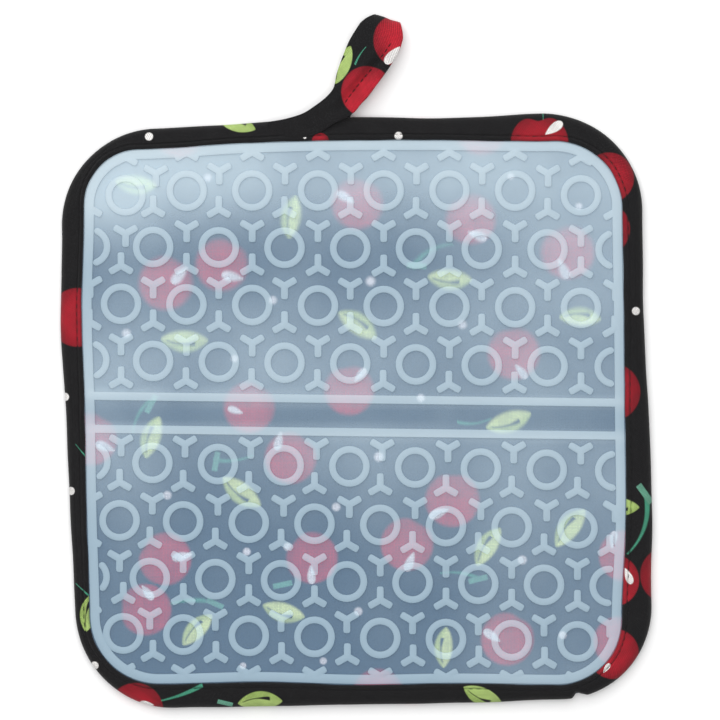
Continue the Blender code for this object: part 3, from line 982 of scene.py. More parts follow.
def stem_masks(graph, softness):
    """Where a stem and the bright cap at its end lie."""
    u, v, bow = graph.parts(graph.attribute("stem_at"))
    from_line = v - (1.0 - u * u) * bow
    half_width = graph.ramp(u, -1.0, 1.0, *STEM_HALF_WIDTHS)
    stem = graph.below(abs(from_line) - half_width, softness) * abs(u).is_under(1.0)
    u, v, _ = graph.parts(graph.attribute("cap_at"))
    cap = graph.below(abs(u) - 1.0, softness) * graph.below(abs(v) - CAP_HALF_WIDTH, softness)
    return stem, cap


PRINT_TONES = ("ground", "red", "deep_red", "leaf", "leaf_shade", "stem", "white")


def label_of(tone):
    return tone.replace("_", " ").capitalize()


def print_group():
    """Cherries, leaves, stems and dots on a plain ground, from the cloth's attributes."""
    inputs = [(label_of(tone), "Color") for tone in PRINT_TONES] + [("Softness", "Float")]
    graph, given, result = new_group("Fruit print", inputs, [("Color", "Color")])
    ground, red, deep_red, leaf, leaf_shade, stem, white, softness = given.values()
    x, y, _ = graph.parts(graph.attribute("dot_at"))
    in_dot = graph.below(graph.length(x, y) - 1.0, softness * DOT_SOFTNESS)
    in_stem, in_cap = stem_masks(graph, softness)
    in_leaf, in_shade, in_vein = leaf_masks(graph, softness)
    in_fruit, on_dark_side = cherry_masks(graph, softness)
    less, more = CAP_PALENESS
    cap = graph.mix(less, stem, graph.mix(more, stem, white))
    leaf = graph.mix(in_vein, graph.mix(in_shade * LEAF_SHADE_SHARE, leaf, leaf_shade), ground)
    fruit = graph.mix(on_dark_side, red, deep_red)
    cloth = ground
    for mask, tone in (
        (in_dot, white),
        (in_stem, stem),
        (in_cap, cap),
        (in_leaf, leaf),
        (in_fruit, fruit),
        (glint_mask(graph, softness), white),
    ):
        cloth = graph.mix(mask, cloth, tone)
    graph.feed(result, {"Color": cloth})
    return graph.tree


# ---------------------------------------------------------------- materials

# The grain of each surface is drawn with noise: its scale, the stretch of its values that is
# used, and what that stretch gives.
MIDDLE_OF_NOISE = (0.3, 0.7)
MOST_OF_NOISE = (0.2, 0.8)
FINE_DETAIL = 3.0
PATCH_SCALE = 180.0
PATCH_TONES = (0.9, 1.1)
LINT_SCALE = 2600.0
LINT_FROM = (0.50, 0.78)
LINT_SHARE = 0.12
LINT_HEIGHT = 0.5
LINT_TONE = (0.17, 0.17, 0.185)
CLOUD_SCALE = 26.0
CLOUD_HAZE = (-0.09, 0.09)
GRAIN_SCALE = 1500.0
FIBRE_SCALE = 5200.0
FIBRE_FROM = (0.35, 0.75)
SPECKLE_SCALE = 40.0
SPECKLE_TONES = (0.985, 1.0)
COTTON_ROUGHNESS = (0.82, 0.95)
SILICONE_ROUGHNESS = (0.36, 0.46)
THREAD_ROUGHNESS = (0.6, 0.8)
# Strength and depth of the bumps.
COTTON_BUMP = (0.55, 0.00012)
SILICONE_BUMP = (0.12, 0.00006)
THREAD_BUMP = (0.4, 0.00005)

THREAD_DIP = (0.4, 0.6)  # how far a thread's height falls away towards its two sides
THREAD_TONES = (0.22, 0.84)  # how much the threads differ, and the darkest of them
HOLLOW_HEIGHTS = (0.05, 0.8)  # heights between which a hollow of the weave gets lighter: painted shade in the hollows, painted light on the crowns
# painted light on the crowns of the threads, over the print's own colour
CROWN_PAINTED_LIGHT = 1.1
PRINT_SOFTNESS = 0.03  # of the print's edges, in units of a motif's size
COVERED_SOFTNESS = (0.06, 0.13)  # added under the silicone, at its lower and its upper end
COVERED_REACH = (-0.06, 0.06)
COVERED_FROM = (0.002, 0.003)  # heights between which the pad's side turns into its top
HAZE_RANGE = (0.0, 1.3)
RIB_FOOT = 0.00018  # where the look of a rib starts, over the sheet
RIB_CROWN = 0.00022  # and where it is full, under the rib's top
# painted highlight: share of the near-white side colour on the sides of the ribs
SIDE_HIGHLIGHT_SHARE = 0.8
PALE_FIBRES = 2.0  # tone of the lightest fibres of the thread over that of the darkest


def weave_group():
    """Plain weave: the height of the threads and a tone that differs from thread to thread."""
    graph, given, result = new_group(
        "Plain weave",
        [("Vector", "Vector"), ("Pitch", "Float")],
        [("Height", "Float"), ("Tone", "Float")],
    )
    x, y, _ = graph.parts(given["Vector"])
    u, v = x / given["Pitch"], y / given["Pitch"]
    wave_u = graph.maths("SINE", u * math.pi)
    wave_v = graph.maths("SINE", v * math.pi)
    over = (wave_u * wave_v).is_over(0.0)
    dip, rest = THREAD_DIP
    high_u, high_v = abs(wave_u), abs(wave_v)
    warp = high_u * (high_v * dip + rest)
    weft = high_v * (high_u * dip + rest)
    warp_number = graph.maths("FLOOR", u)
    weft_number = graph.maths("FLOOR", v) + 0.5
    number = weft_number + over * (warp_number - weft_number)
    tone = graph.term("ShaderNodeTexWhiteNoise", {"W": number}, "Value", noise_dimensions="1D")
    graph.feed(result, {"Height": weft + over * (warp - weft), "Tone": tone})
    return graph.tree


def new_material(name):
    material = bpy.data.materials.new(name)
    material.use_nodes = True
    shader = material.node_tree.nodes["Principled BSDF"]
    return material, Graph(material.node_tree), shader


def cotton(name, turn, gap_shade, red_painted_light=1.0, through_silicone=False):
    """Printed plain-weave cotton: turn is the weave's angle to the cloth's own map, the gap tone
    is painted shade in the weave's hollows, and lift is painted light that makes the red of
    the print lighter."""
    sizes, colours = settings()
    material, graph, shader = new_material(name)
    cloth_map = graph.term("ShaderNodeUVMap", uv_map="cloth")
    laid = {"Vector": cloth_map, "Rotation": (0.0, 0.0, math.radians(turn))}
    straight = graph.term("ShaderNodeMapping", laid, vector_type="POINT")
    uneven = graph.noise(straight, PATCH_SCALE)
    lint = graph.noise(straight, LINT_SCALE, FINE_DETAIL)
    threads = {"Vector": straight, "Pitch": sizes.thread_pitch}
    weave = graph.group("Plain weave", weave_group, threads)
    inputs = {"Softness": PRINT_SOFTNESS}
    # the lift is painted light: it draws the print's red and deep red lighter
    for tone in PRINT_TONES:
        factor = red_painted_light if tone in ("red", "deep_red") else 1.0
        inputs[label_of(tone)] = [part * factor for part in getattr(colours, tone)]
    # painted light: under the silicone the print takes its lighter covered colours
    if through_silicone:
        _, y, z = graph.parts(graph.place())
        upper_side = graph.ramp(z, *COVERED_FROM)
        blur = graph.ramp(y, *COVERED_REACH, *COVERED_SOFTNESS)
        inputs["Softness"] = blur * upper_side + PRINT_SOFTNESS
        for tone in PRINT_TONES:
            lit_covered_tone = getattr(colours, f"covered_{tone}")
            inputs[label_of(tone)] = graph.mix(upper_side, inputs[label_of(tone)], lit_covered_tone)
    printed = graph.group("Fruit print", print_group, inputs)["Color"]
    differing, darkest = THREAD_TONES
    thread_tone = weave["Tone"] * differing + darkest
    # painted shade in the hollows of the weave, painted light on the crowns of its threads
    hollow_shade = graph.ramp(weave["Height"], *HOLLOW_HEIGHTS, gap_shade, CROWN_PAINTED_LIGHT)
    patch = graph.ramp(uneven, *MIDDLE_OF_NOISE, *PATCH_TONES)
    shaded = graph.scaled(printed, thread_tone * hollow_shade * patch)
    lint_mask = graph.ramp(lint, *LINT_FROM, 0.0, LINT_SHARE)
    looks = {
        "Base Color": graph.mix(lint_mask, shaded, LINT_TONE),
        "Roughness": graph.ramp(uneven, *MOST_OF_NOISE, *COTTON_ROUGHNESS),
        "Specular IOR Level": 0.25,
        "Sheen Weight": 0.06,
        "Sheen Roughness": 0.5,
        "Normal": graph.bump(weave["Height"] + lint * LINT_HEIGHT, *COTTON_BUMP),
    }
    graph.feed(shader, looks)
    return material


def silicone():
    """Frosted silicone: a thin see-through sheet whose raised ribs are cloudier."""
    _, colours = settings()
    material, graph, shader = new_material("Frosted silicone")
    place = graph.place()
    _, _, z = graph.parts(place)
    cloud = graph.noise(place, CLOUD_SCALE, FINE_DETAIL)
    # The haze attribute is the sheet's haze together with painted glare, most towards the loop.
    haze = graph.attribute("haze", "Fac") + graph.ramp(cloud, *MIDDLE_OF_NOISE, *CLOUD_HAZE)
    rib = graph.ramp(z, SHEET_TOP + RIB_FOOT, RIB_TOP - RIB_CROWN)
    # painted highlight: the sides of the ribs are drawn whiter and more opaque, in the rib side colour
    side = rib * (4.0 - rib * 4.0)
    flat_alpha = graph.ramp(haze, *HAZE_RANGE, *FLAT_ALPHA)
    rib_alpha = graph.ramp(haze, *HAZE_RANGE, *RIB_ALPHA)
    alpha = flat_alpha + rib * (rib_alpha - flat_alpha)
    flat_tone = graph.mix(haze, colours.sheet, colours.haze_and_glare_sheet)
    rib_tone = graph.mix(haze, colours.rib, colours.haze_and_glare_rib)
    tone = graph.mix(rib, flat_tone, rib_tone)
    looks = {
        "Base Color": graph.mix(side * SIDE_HIGHLIGHT_SHARE, tone, colours.rib_side_highlight),
        "Alpha": side * SIDE_HIGHLIGHT_ALPHA + alpha,
        "Roughness": graph.ramp(cloud, *MOST_OF_NOISE, *SILICONE_ROUGHNESS),
        "IOR": 1.41,
        "Normal": graph.bump(graph.noise(place, GRAIN_SCALE), *SILICONE_BUMP),
    }
    graph.feed(shader, looks)
    return material


def thread_material():
    """Black spun thread, with the twist of its plies."""
    _, colours = settings()
    material, graph, shader = new_material("Black thread")
    fibres = graph.noise(graph.place(), FIBRE_SCALE, FINE_DETAIL)
    pale = [part * PALE_FIBRES for part in colours.thread]
    looks = {
        "Base Color": graph.mix(graph.ramp(fibres, *FIBRE_FROM), colours.thread, pale),
        "Roughness": graph.ramp(fibres, *MIDDLE_OF_NOISE, *THREAD_ROUGHNESS),
        "Specular IOR Level": 0.2,
        "Normal": graph.bump(fibres, *THREAD_BUMP),
    }
    graph.feed(shader, looks)
    return material


def floor_material():
    _, colours = settings()
    material, graph, shader = new_material("Pale floor")
    speckle = graph.noise(graph.place(), SPECKLE_SCALE)
    speckle = graph.ramp(speckle, *MIDDLE_OF_NOISE, *SPECKLE_TONES)
    looks = {
        "Base Color": graph.scaled(tuple(colours.floor), speckle),
        "Roughness": 0.9,
        "Specular IOR Level": 0.1,
    }
    graph.feed(shader, looks)
    return material


# ================================================================ pad


def from_channel(points):
    """How far each point is from the nearest of the two sets of channels."""
    found = []
    for sign in (1, -1):
        across = (points[:, 0] + sign * points[:, 1]) / math.sqrt(2) / CHANNEL_PITCH
        found.append(np.abs(across - np.floor(across) - 0.5) * CHANNEL_PITCH)
    return found


def underside_height(points):
    """The quilted underside: puffed cells, sewn channels, and a rise towards the binding."""
    rises = []
    for distance in from_channel(points):
        channel = CHANNEL_DEPTH * hump(distance, CHANNEL_SPREAD)
        rises.append(channel + PUFF_DEPTH * hump(distance, PUFF_SPREAD))
    wrinkle = WRINKLE * (1 + ripple(points[:, 0] * 9 + points[:, 1] * 4, 5, (1, 2.3, 3.7)))
    wrinkle = wrinkle * (rises[0] > LEAST_RISE)
    quilted = np.maximum(*rises) + CROSSING_SHARE * np.minimum(*rises) + wrinkle
    depth = depth_inside(points, outlines(FINE_STEPS)["window"])
    margin = MARGIN_HEIGHT * (1 - smooth_step(depth, MARGIN_START, MARGIN_START + MARGIN_WIDTH))
    return np.maximum(quilted, margin)


def pad_mesh():
    rims = outlines(COARSE_STEPS)
    rings = [at_height(inset(rims[row.outline], row.inset), row.z) for row in PAD_SIDE]
    around = solid_through("pad_side", rings)
    filled = block("pad_cover", PAD_CELLS, CELL, underside_height, PAD_TOP)
    mesh = combined(filled, "INTERSECT", around)
    plan = at_corners(mesh, points_of(mesh))[:, :2]
    normals = read_all(mesh.polygons, "normal", 3)
    totals = read_all(mesh.polygons, "loop_total", kind=np.int32)
    faces_down = np.repeat(normals[:, 2] < FACES_DOWN, totals)
    set_cloth_map(mesh, plan)
    # The underside's print is charted as it is seen, from below, well away from the top's.
    seen = plan.copy()
    seen[faces_down] = plan[faces_down] * (-1, 1) + (BACK_PRINT_SHIFT, 0.0)
    back = [motif._replace(x=motif.x + BACK_PRINT_SHIFT / MM) for motif in sprays()]
    mark_motifs(mesh, seen, list(PAD_PRINT) + back)
    return mesh


# ================================================================ silicone face


def row_point(row, along):
    """A point of a row's line, this far from its middle, drawn in towards its ends."""
    slope = math.radians(row.tilt)
    end = (row.rings - 1) / 2 * RING_PITCH
    near_left = hump(along + end, PULL_REACH)
    near_right = hump(along - end, PULL_REACH)
    x = row.middle_x + along * math.cos(slope)
    x += row.left_pull * near_left - row.right_pull * near_right
    y = row.y + along * math.sin(slope) - row.drop * (near_left + near_right)
    return Vector((x, y))


def ring_offsets(count):
    return [(i - (count - 1) / 2) * RING_PITCH for i in range(count)]


def rib_section(near, far):
    """The rounded section of a rib, as distances from near to far and heights."""
    soft, less = RIB_ROUNDING, ROUNDING_MIDDLE * RIB_ROUNDING
    rising = ((near, RIB_ROOT), (near, RIB_TOP - soft), (near + less, RIB_TOP - less))
    falling = ((far - less, RIB_TOP - less), (far, RIB_TOP - soft), (far, RIB_ROOT))
    return (*rising, (near + soft, RIB_TOP), (far - soft, RIB_TOP), *falling)


def open_arc(centre, outline):
    """Where a ring stays clear of the rim: the start and the length of its arc."""
    angles = np.arange(0, 360, ARC_STEP)
    radius = (RING_INNER + RING_OUTER) / 2
    turns = np.radians(angles)
    ring = np.array(centre) + radius * np.stack((np.cos(turns), np.sin(turns)), axis=1)
    clear = depth_inside(ring, outline) > RIM_GAP + RIM_WIDTH + (RING_OUTER - RING_INNER) / 2
    if np.count_nonzero(~clear) * ARC_STEP < LEAST_CUT:
        return 0.0, 360.0
    if not clear.any():
        return 0.0, 0.0
    shift = int(np.argmin(clear))
    inside = np.flatnonzero(np.roll(clear, -shift)) * ARC_STEP
    return float(angles[shift] + inside[0]), float(inside[-1] - inside[0])


def add_ring(bm, centre, outline):
    """A ring, or where the rim is in its way an arc of one with rounded ends."""
    start, sweep = open_arc(centre, outline)
    if sweep < LEAST_ARC:
        return
    middle = Vector((*centre, 0.0))
    section = []
    for radius, z in rib_section(RING_INNER, RING_OUTER):
        place = turned(Vector((radius, 0)), math.radians(start))
        section.append(bm.verts.new(middle + Vector((*place, z))))
    edges = [bm.edges.new((section[i - 1], section[i])) for i in range(len(section))]
    full = sweep == 360.0
    steps = RING_STEPS if full else max(6, int(RING_STEPS * sweep / 360))
    made = bmesh.ops.spin(
        bm,
        geom=section + edges,
        cent=middle,
        axis=(0, 0, 1),
        angle=math.radians(sweep),
        steps=steps,
        use_merge=full,
    )
    if full:
        return
    last = only(made["geom_last"], bmesh.types.BMEdge)
    for ring, towards in ((edges, -1), (last, 1)):
        round_off(bm, ring, middle, towards)


def round_off(bm, ring, middle, towards):
    """Closes an end of a cut ring with a half-round tip."""
    half = (RING_OUTER - RING_INNER) / 2
    corners = list({corner for edge in ring for corner in edge.verts})
    arm = (sum((corner.co for corner in corners), Vector()) / len(corners) - middle).to_2d().normalized()
    outwards = Vector((*(left_of(arm) * towards), 0.0))
    arm = Vector((*arm, 0.0))
    tip = bmesh.ops.contextual_create(bm, geom=ring)["faces"]
    reach, width = 0.0, 1.0
    for next_reach, next_width in TIP_SHAPE:
        made = bmesh.ops.extrude_face_region(bm, geom=tip)["geom"]
        bmesh.ops.delete(bm, geom=[face for face in tip if face.is_valid], context="FACES_ONLY")
        tip = only(made, bmesh.types.BMFace)
        for corner in only(made, bmesh.types.BMVert):
            offset = (corner.co - middle).dot(arm) - RING_INNER - half
            corner.co += outwards * half * (next_reach - reach)
            corner.co += arm * offset * (next_width / width - 1)
        reach, width = next_reach, next_width


def three_arms():
    """A three-armed rib about the origin, one arm along +X, its tips and top rounded."""
    bm = bmesh.new()
    crotch = ARM_HALF_WIDTH / math.sin(math.radians(60))
    points = []
    for number in range(3):
        along = turned(Vector((1, 0)), math.radians(120 * number))
        tip = along * (ARM_LENGTH - ARM_HALF_WIDTH)
        for step in range(TIP_STEPS + 1):
            angle = math.radians(-90 + 180 * step / TIP_STEPS)
            out = max(0.0, math.cos(angle)) ** TIP_SQUARENESS
            aside = math.copysign(abs(math.sin(angle)) ** TIP_SQUARENESS, angle)
            points.append(tip + (along * out + left_of(along) * aside) * ARM_HALF_WIDTH)
        points.append(turned(along, math.radians(60)) * crotch)
    corners = [bm.verts.new((*point, RIB_ROOT)) for point in points]
    face = bm.faces.new(corners)
    raise_rib(bm, [face])
    return as_mesh("three_arms", bm)


def raise_rib(bm, faces):
    """Raises flat faces to the height of a rib and rounds their upper edges."""
    made = bmesh.ops.extrude_face_region(bm, geom=faces)
    upper = only(made["geom"], bmesh.types.BMVert)
    bmesh.ops.translate(bm, verts=upper, vec=(0, 0, RIB_TOP - RIB_ROOT))
    edges = {edge for corner in upper for edge in corner.link_edges}
    top_edges = [edge for edge in edges if all(corner in upper for corner in edge.verts)]
    bmesh.ops.bevel(
        bm,
        geom=top_edges,
        offset=RIB_ROUNDING,
        affect="EDGES",
        segments=2,
        profile=0.5,
        material=-1,
    )


def add_copy(bm, template, centre, angle):
    before = len(bm.verts)
    bm.from_mesh(template)
    bm.verts.ensure_lookup_table()
    placed = Matrix.Translation((*centre, 0.0)) @ Matrix.Rotation(math.radians(angle), 4, "Z")
    bmesh.ops.transform(bm, matrix=placed, verts=bm.verts[before:])


def rib_places(rows, above_first, below_last):
    """Centres and stem angles of the three-armed ribs, one in each triangle of rings."""
    up = Vector((0, ROW_PITCH))
    found = []
    for row in rows:
        centres = [row_point(row, along) for along in ring_offsets(row.rings)]
        gaps = [row_point(row, along) for along in ring_offsets(row.rings + 1)[1:-1]]
        for centre in centres:
            if row is not rows[0] or above_first == "rim":
                found.append((centre + up * 2 / 3, STEM_UP))
            if row is not rows[-1] or below_last == "rim":
                found.append((centre - up * 2 / 3, STEM_DOWN))
        for gap in gaps:
            if row is rows[0]:
                found.append((gap + up / 3, STEM_DOWN))
            if row is rows[-1]:
                found.append((gap - up / 3, STEM_UP))
    return found


def bars_mesh():
    bm = bmesh.new()
    for x, y in BAR_MIDDLES:
        along = turned(Vector((1, 0)), math.radians(BAR_TILT)) * BAR_LENGTH / 2
        up = left_of(along).normalized() * BAR_WIDTH / 2
        middle = Vector((x, y))
        corners = (middle - along - up, middle + along - up, middle + along + up, middle - along + up)
        face = bm.faces.new([bm.verts.new((*point, RIB_ROOT)) for point in corners])
        raise_rib(bm, [face])
    return as_mesh("bars", bm, faces_out=True)


def rim_mesh(window):
    section = rib_section(RIM_GAP, RIM_GAP + RIM_WIDTH)
    rings = [at_height(inset(window, depth), z) for depth, z in (*section, section[0])]
    mesh = grid_mesh("rim", wrapped(np.array(rings)))
    close_up(mesh)
    return mesh


def silicone_mesh():
    sizes, _ = settings()
    rims = outlines(COARSE_STEPS)
    edge, window = inset(rims["edge"], SHEET_INSET), rims["window"]
    around = solid_through("sheet_side", [at_height(edge, z) for z in (0.0, BINDING_TOP)])
    sheet = block("silicone_face", SHEET_CELLS, SHEET_CELL, SHEET_BOTTOM, SHEET_TOP)
    mesh = combined(sheet, "INTERSECT", around)

    ribs = bmesh.new()
    template = three_arms()
    rows = (*UPPER_ROWS, *LOWER_ROWS)
    places = rib_places(UPPER_ROWS, "rim", "bar") + rib_places(LOWER_ROWS, "bar", "rim")
    for centre, angle in places:
        add_copy(ribs, template, centre, angle)
    limit = inset(window, RIM_GAP + RIM_WIDTH / 2)
    for relief in (as_mesh("ribs", ribs, faces_out=True), bars_mesh()):
        inside = solid_through("limit", [at_height(limit, z) for z in (0.0, 2 * BINDING_TOP)])
        mesh = combined(mesh, "UNION", combined(relief, "INTERSECT", inside))

    rings = bmesh.new()
    for row in rows:
        for along in ring_offsets(row.rings):
            add_ring(rings, row_point(row, along), window)
    mesh = combined(mesh, "UNION", as_mesh("rings", rings, faces_out=True))
    mesh = combined(mesh, "UNION", rim_mesh(window))

    places = points_of(mesh)
    fade = smooth_step(depth_inside(places[:, :2], window), *UNEVEN_FROM)
    waves = ripple(places[:, 0] * 6, 1, (1, 1.7)) + ripple(places[:, 1] * 6, 2, (0.8, 1.9))
    places[:, 2] += sizes.unevenness * fade * waves * 0.5
    move_points(mesh, places)
    attribute = mesh.attributes.new("haze", "FLOAT", "POINT")
    attribute.data.foreach_set("value", haze_and_glare_at(places[:, :2]).astype(np.float32))
    return mesh


def haze_and_glare_at(points):
    """How hazy the sheet looks, with painted glare: most towards the loop, where the glare is
    painted, along the left side and in a soft band across the middle."""
    x, y = points.T
    # painted glare: the sheet is drawn hazier towards the loop
    glare_towards_loop = smooth_step(y, 0.048, 0.086)
    across_middle = hump(y - 0.008, 0.042)
    left_side = smooth_step(-x, 0.058, 0.084)
    upper_left = smooth_step(-x, 0.045, 0.085) * glare_towards_loop
    upper_right = smooth_step(x, 0.010, 0.062) * smooth_step(y, 0.012, 0.05) * (1 - glare_towards_loop)
    lower_right = smooth_step(x, 0.025, 0.060) * smooth_step(-y, 0.0, 0.03)
    slope = math.tan(math.radians(BAR_TILT))
    in_band = hump(y - BAND_MIDDLE - x * slope, BAND_REACH, 4)
    near_bars = 0
    for bar_x, bar_y in BAR_MIDDLES:
        near_bars = near_bars + hump(y - bar_y - (x - bar_x) * slope, BAR_REACH, 4)
    hazy_and_glared = (
        0.84 * glare_towards_loop
        + 0.48 * across_middle
        + 0.12 * left_side
        + 0.28 * upper_left
        + 0.42 * upper_right
        + 0.22 * lower_right
        + 0.24 * near_bars
        + 0.05 * ripple(x * 5 + y * 3, 8, (1, 2.2))
    )
    return hazy_and_glared * (1 - BAND_CLEARNESS * in_band)


# ================================================================ binding


class Tape:
    """The binding's stations round the edge: its two outlines and the run along them."""

    def __init__(self):
        rims = outlines(FINE_STEPS)
        self.outside, self.window = rims["edge"], rims["window"]
        middle = (self.outside + self.window) / 2
        self.run = run_along(np.vstack((middle, middle[:1])))
        self.share = self.run[:-1] / self.run[-1]
        self.inwards = unit(self.window - self.outside)
        outer_waves = OUTER_WAVER * ripple(self.share, 3, (9, 17, 23, 31))
        inner_waves = INNER_WAVER * ripple(self.share, 4, (13, 21, 37, 55))
        self.outside = self.outside + self.inwards * outer_waves[:, None]
        self.window = self.window - self.inwards * inner_waves[:, None]
        self.width = np.linalg.norm(self.window - self.outside, axis=1)

    def total(self):
        return self.run[-1]

    def station_near(self, spot):
        return int(np.argmin(np.linalg.norm(self.outside - np.array(spot), axis=1)))


def tape_section(tape):
    """Distances in from the outer edge and heights of the section, for every station."""
    sizes, _ = settings()
    width = tape.width[:, None]

    def all_round(*values):
        return np.tile(values, (len(width), 1))

    nose = np.minimum(NOSE_DEPTH, NOSE_SHARE * width)
    last = BESIDE_FOLD[-1]
    shares = (np.arange(1, LEG_STEPS + 1) / (LEG_STEPS + 1))[None, :]
    from_fold = np.hstack((all_round(*BESIDE_FOLD), last + shares * (width - nose - last)))
    phase = math.tau * np.round(tape.total() / sizes.stitch_pitch) * tape.share[:, None]
    pucker = 0.5 + 0.5 * np.cos(phase)
    beside = hump(from_fold - STITCH_LINE, PUCKER_REACH)
    groove = hump(from_fold - STITCH_LINE, GROOVE_REACH)
    hem = np.sin(np.pi * np.clip(from_fold / STITCH_LINE, 0, 1))
    crown_share = np.clip((from_fold - STITCH_LINE) / (width - STITCH_LINE), 0, 1)
    crown = np.sin(np.pi * crown_share)
    swell = 1 + SWELL_CHANGE * ripple(tape.share, 6, (19, 33, 47, 71))[:, None]
    rise = sizes.edge_puff * swell * (hem + CROWN_SHARE * crown)
    rise += sizes.pucker_height * pucker * beside - sizes.groove_depth * groove * (1 - GROOVE_EASE * pucker)
    rolled = FOLD_DROP * np.exp(-from_fold / FOLD_ROUNDING)
    outer_drop = OUTER_DROP * smooth_step(from_fold, STITCH_LINE, width - nose)
    top = BINDING_TOP + rise - rolled - outer_drop
    sunk = LOWER_GROOVE * sizes.groove_depth * groove + rolled
    sunk += sizes.pucker_height * (1 - pucker) * beside
    bottom = np.maximum(sunk, 0.0)
    angles = np.pi / 2 - np.pi * np.arange(NOSE_STEPS + 1) / NOSE_STEPS
    middle = (BINDING_TOP - OUTER_DROP) / 2
    leg = LEG_THICKNESS
    distances = (
        width - from_fold,
        nose - nose * np.cos(angles),
        (width - from_fold)[:, ::-1],
        width - LIP,
        all_round(*HOLLOW_DEPTHS),
        width - LIP,
        width,
    )
    heights = (
        top,
        all_round(*(middle + middle * np.sin(angles))),
        bottom[:, ::-1],
        all_round(leg, leg, middle, 2 * middle - leg, BINDING_TOP - leg),
        top[:, :1],
    )
    return np.hstack(distances), np.hstack(heights)


def binding_mesh(tape):
    distances, heights = tape_section(tape)
    outside, inwards = tape.outside[:, None, :], tape.inwards[:, None, :]
    plan = outside + inwards * distances[:, :, None]
    run = tape.run[:-1]
    from_notch = np.abs(run - run[tape.station_near(NOTCH_AT)])
    pinch = np.clip(1 - from_notch / NOTCH_HALF_WIDTH, 0, 1)
    drawn_in = NOTCH_DEPTH * pinch[:, None] * hump(distances, NOTCH_REACH)
    places = np.dstack((plan + inwards * drawn_in[:, :, None], heights))
    across = -run_along(places)
    # Beyond the outer edge the print runs on as if the tape were opened flat.
    edge = len(BESIDE_FOLD) + LEG_STEPS + NOSE_STEPS // 2
    beyond = across[:, edge:] - across[:, edge : edge + 1]
    printed = plan.copy()
    printed[:, edge:] = outside + inwards * beyond[:, :, None]
    places, across, printed = (np.vstack((rows, rows[:1])) for rows in (places, across, printed))
    mesh = grid_mesh("edge_tape", places, np.dstack((tape.run[:, None] + 0 * across, across)))
    mark_motifs(mesh, at_corners(mesh, printed.reshape(-1, 2)), EDGE_PRINT)
    close_up(mesh)
    return mesh


# ================================================================ hanging loop


def smooth_rows(rows):
    """The rows with more between them, read from a smooth curve through each column."""
    values = np.array([row[1:] for row in rows], dtype=float)
    values = np.vstack((2 * values[0] - values[1], values, 2 * values[-1] - values[-2]))
    found = []
    for before, start, end, after in zip(values, values[1:], values[2:], values[3:]):
        for step in range(ROWS_A_SPAN):
            u = step / ROWS_A_SPAN
            found.append(
                0.5
                * (
                    2 * start
                    + (end - before) * u
                    + (2 * before - 5 * start + 4 * end - after) * u**2
                    + (3 * start - before - 3 * end + after) * u**3
                )
            )
    found.append(values[-2])
    return found


def turn_rows(front, back):
    """The rows of the round fold that carries the tape from its front to its back."""
    across = unit(front[2:4] - front[0:2])
    forward = np.array((-across[1], across[0])) * FOLD_REACH
    found = []
    for step in range(1, TURN_STEPS):
        angle = math.pi * step / TURN_STEPS
        row = front + (back - front) * (1 - math.cos(angle)) / 2
        pinch = math.sin(angle) ** PINCH_SHARPNESS
        row[0:2] += forward * math.sin(angle) + across * FOLD_PINCH[0] * pinch
        row[2:4] += forward * math.sin(angle) - across * FOLD_PINCH[1] * pinch
        found.append(row)
    return found


def loop_edges(rows):
    """The rows in metres, with the left and the right edge of the tape."""
    rows = np.array(rows)
    rows[:, :5] *= MM
    rows[:, 6] *= MM
    left = np.column_stack((rows[:, 0:2], rows[:, 4]))
    right = np.column_stack((rows[:, 2:4], rows[:, 4]))
    return rows, left, right


def loop_mesh():
    """The tape as a closed thin strip, its upper side first and its lower side after."""
    front, back = smooth_rows(FRONT_TAPE), smooth_rows(BACK_TAPE)
    rows, left, right = loop_edges(front + turn_rows(front[-1], back[0]) + back)
    share = (1 - np.cos(np.pi * np.arange(ACROSS_STEPS + 1) / ACROSS_STEPS)) / 2
    middle = left[:, None, :] + (right - left)[:, None, :] * share[None, :, None]
    run = np.gradient(middle, axis=0)
    normals = unit(np.cross(unit(right - left)[:, None, :], run))
    width = np.linalg.norm(right - left, axis=1)[:, None]
    off_crease = np.abs(share[None, :] - rows[:, 5:6]) * width / CREASE_HALF_WIDTH
    crease = rows[:, 6:7] * np.clip(1 - off_crease, 0, 1) ** CREASE_SHARPNESS
    middle = middle - normals * crease[:, :, None]
    edge = np.abs(2 * share - 1)
    half = LOOP_THICKNESS / 2 * np.sqrt(np.clip(1 - edge**EDGE_SQUARENESS, 0, 1))
    roll = 0
    for height, at, reach in EDGE_ROLL:
        roll = roll + height * hump(at - edge, reach)
    upper = middle + normals * (half + roll * half * 2 / LOOP_THICKNESS)[None, :, None]
    lower = middle - normals * half[None, :, None]
    places = np.concatenate((upper, lower[:, ::-1]), axis=1)
    across = run_along(places)
    along = run_along(middle[:, ACROSS_STEPS // 2])[:, None] + 0 * across
    flat = np.stack((along, across), axis=2)
    mesh = grid_mesh("loop_tape", places, flat)
    mark_motifs(mesh, at_corners(mesh, points_of(mesh))[:, :2], LOOP_PRINT)
    close_up(mesh, capped=True)
    return mesh


# ================================================================ sewing


def add_stitch(bm, start, end, radius):
    """One short stitch between two holes, a slim rounded grain of thread."""
    middle, run = (start + end) / 2, end - start
    turn = run.to_track_quat("Z", "Y").to_matrix().to_4x4()
    size = Matrix.Diagonal((radius, radius, run.length / 2, 1.0))
    placed = Matrix.Translation(middle) @ turn @ size
    bmesh.ops.create_uvsphere(bm, u_segments=6, v_segments=5, radius=1.0, matrix=placed)


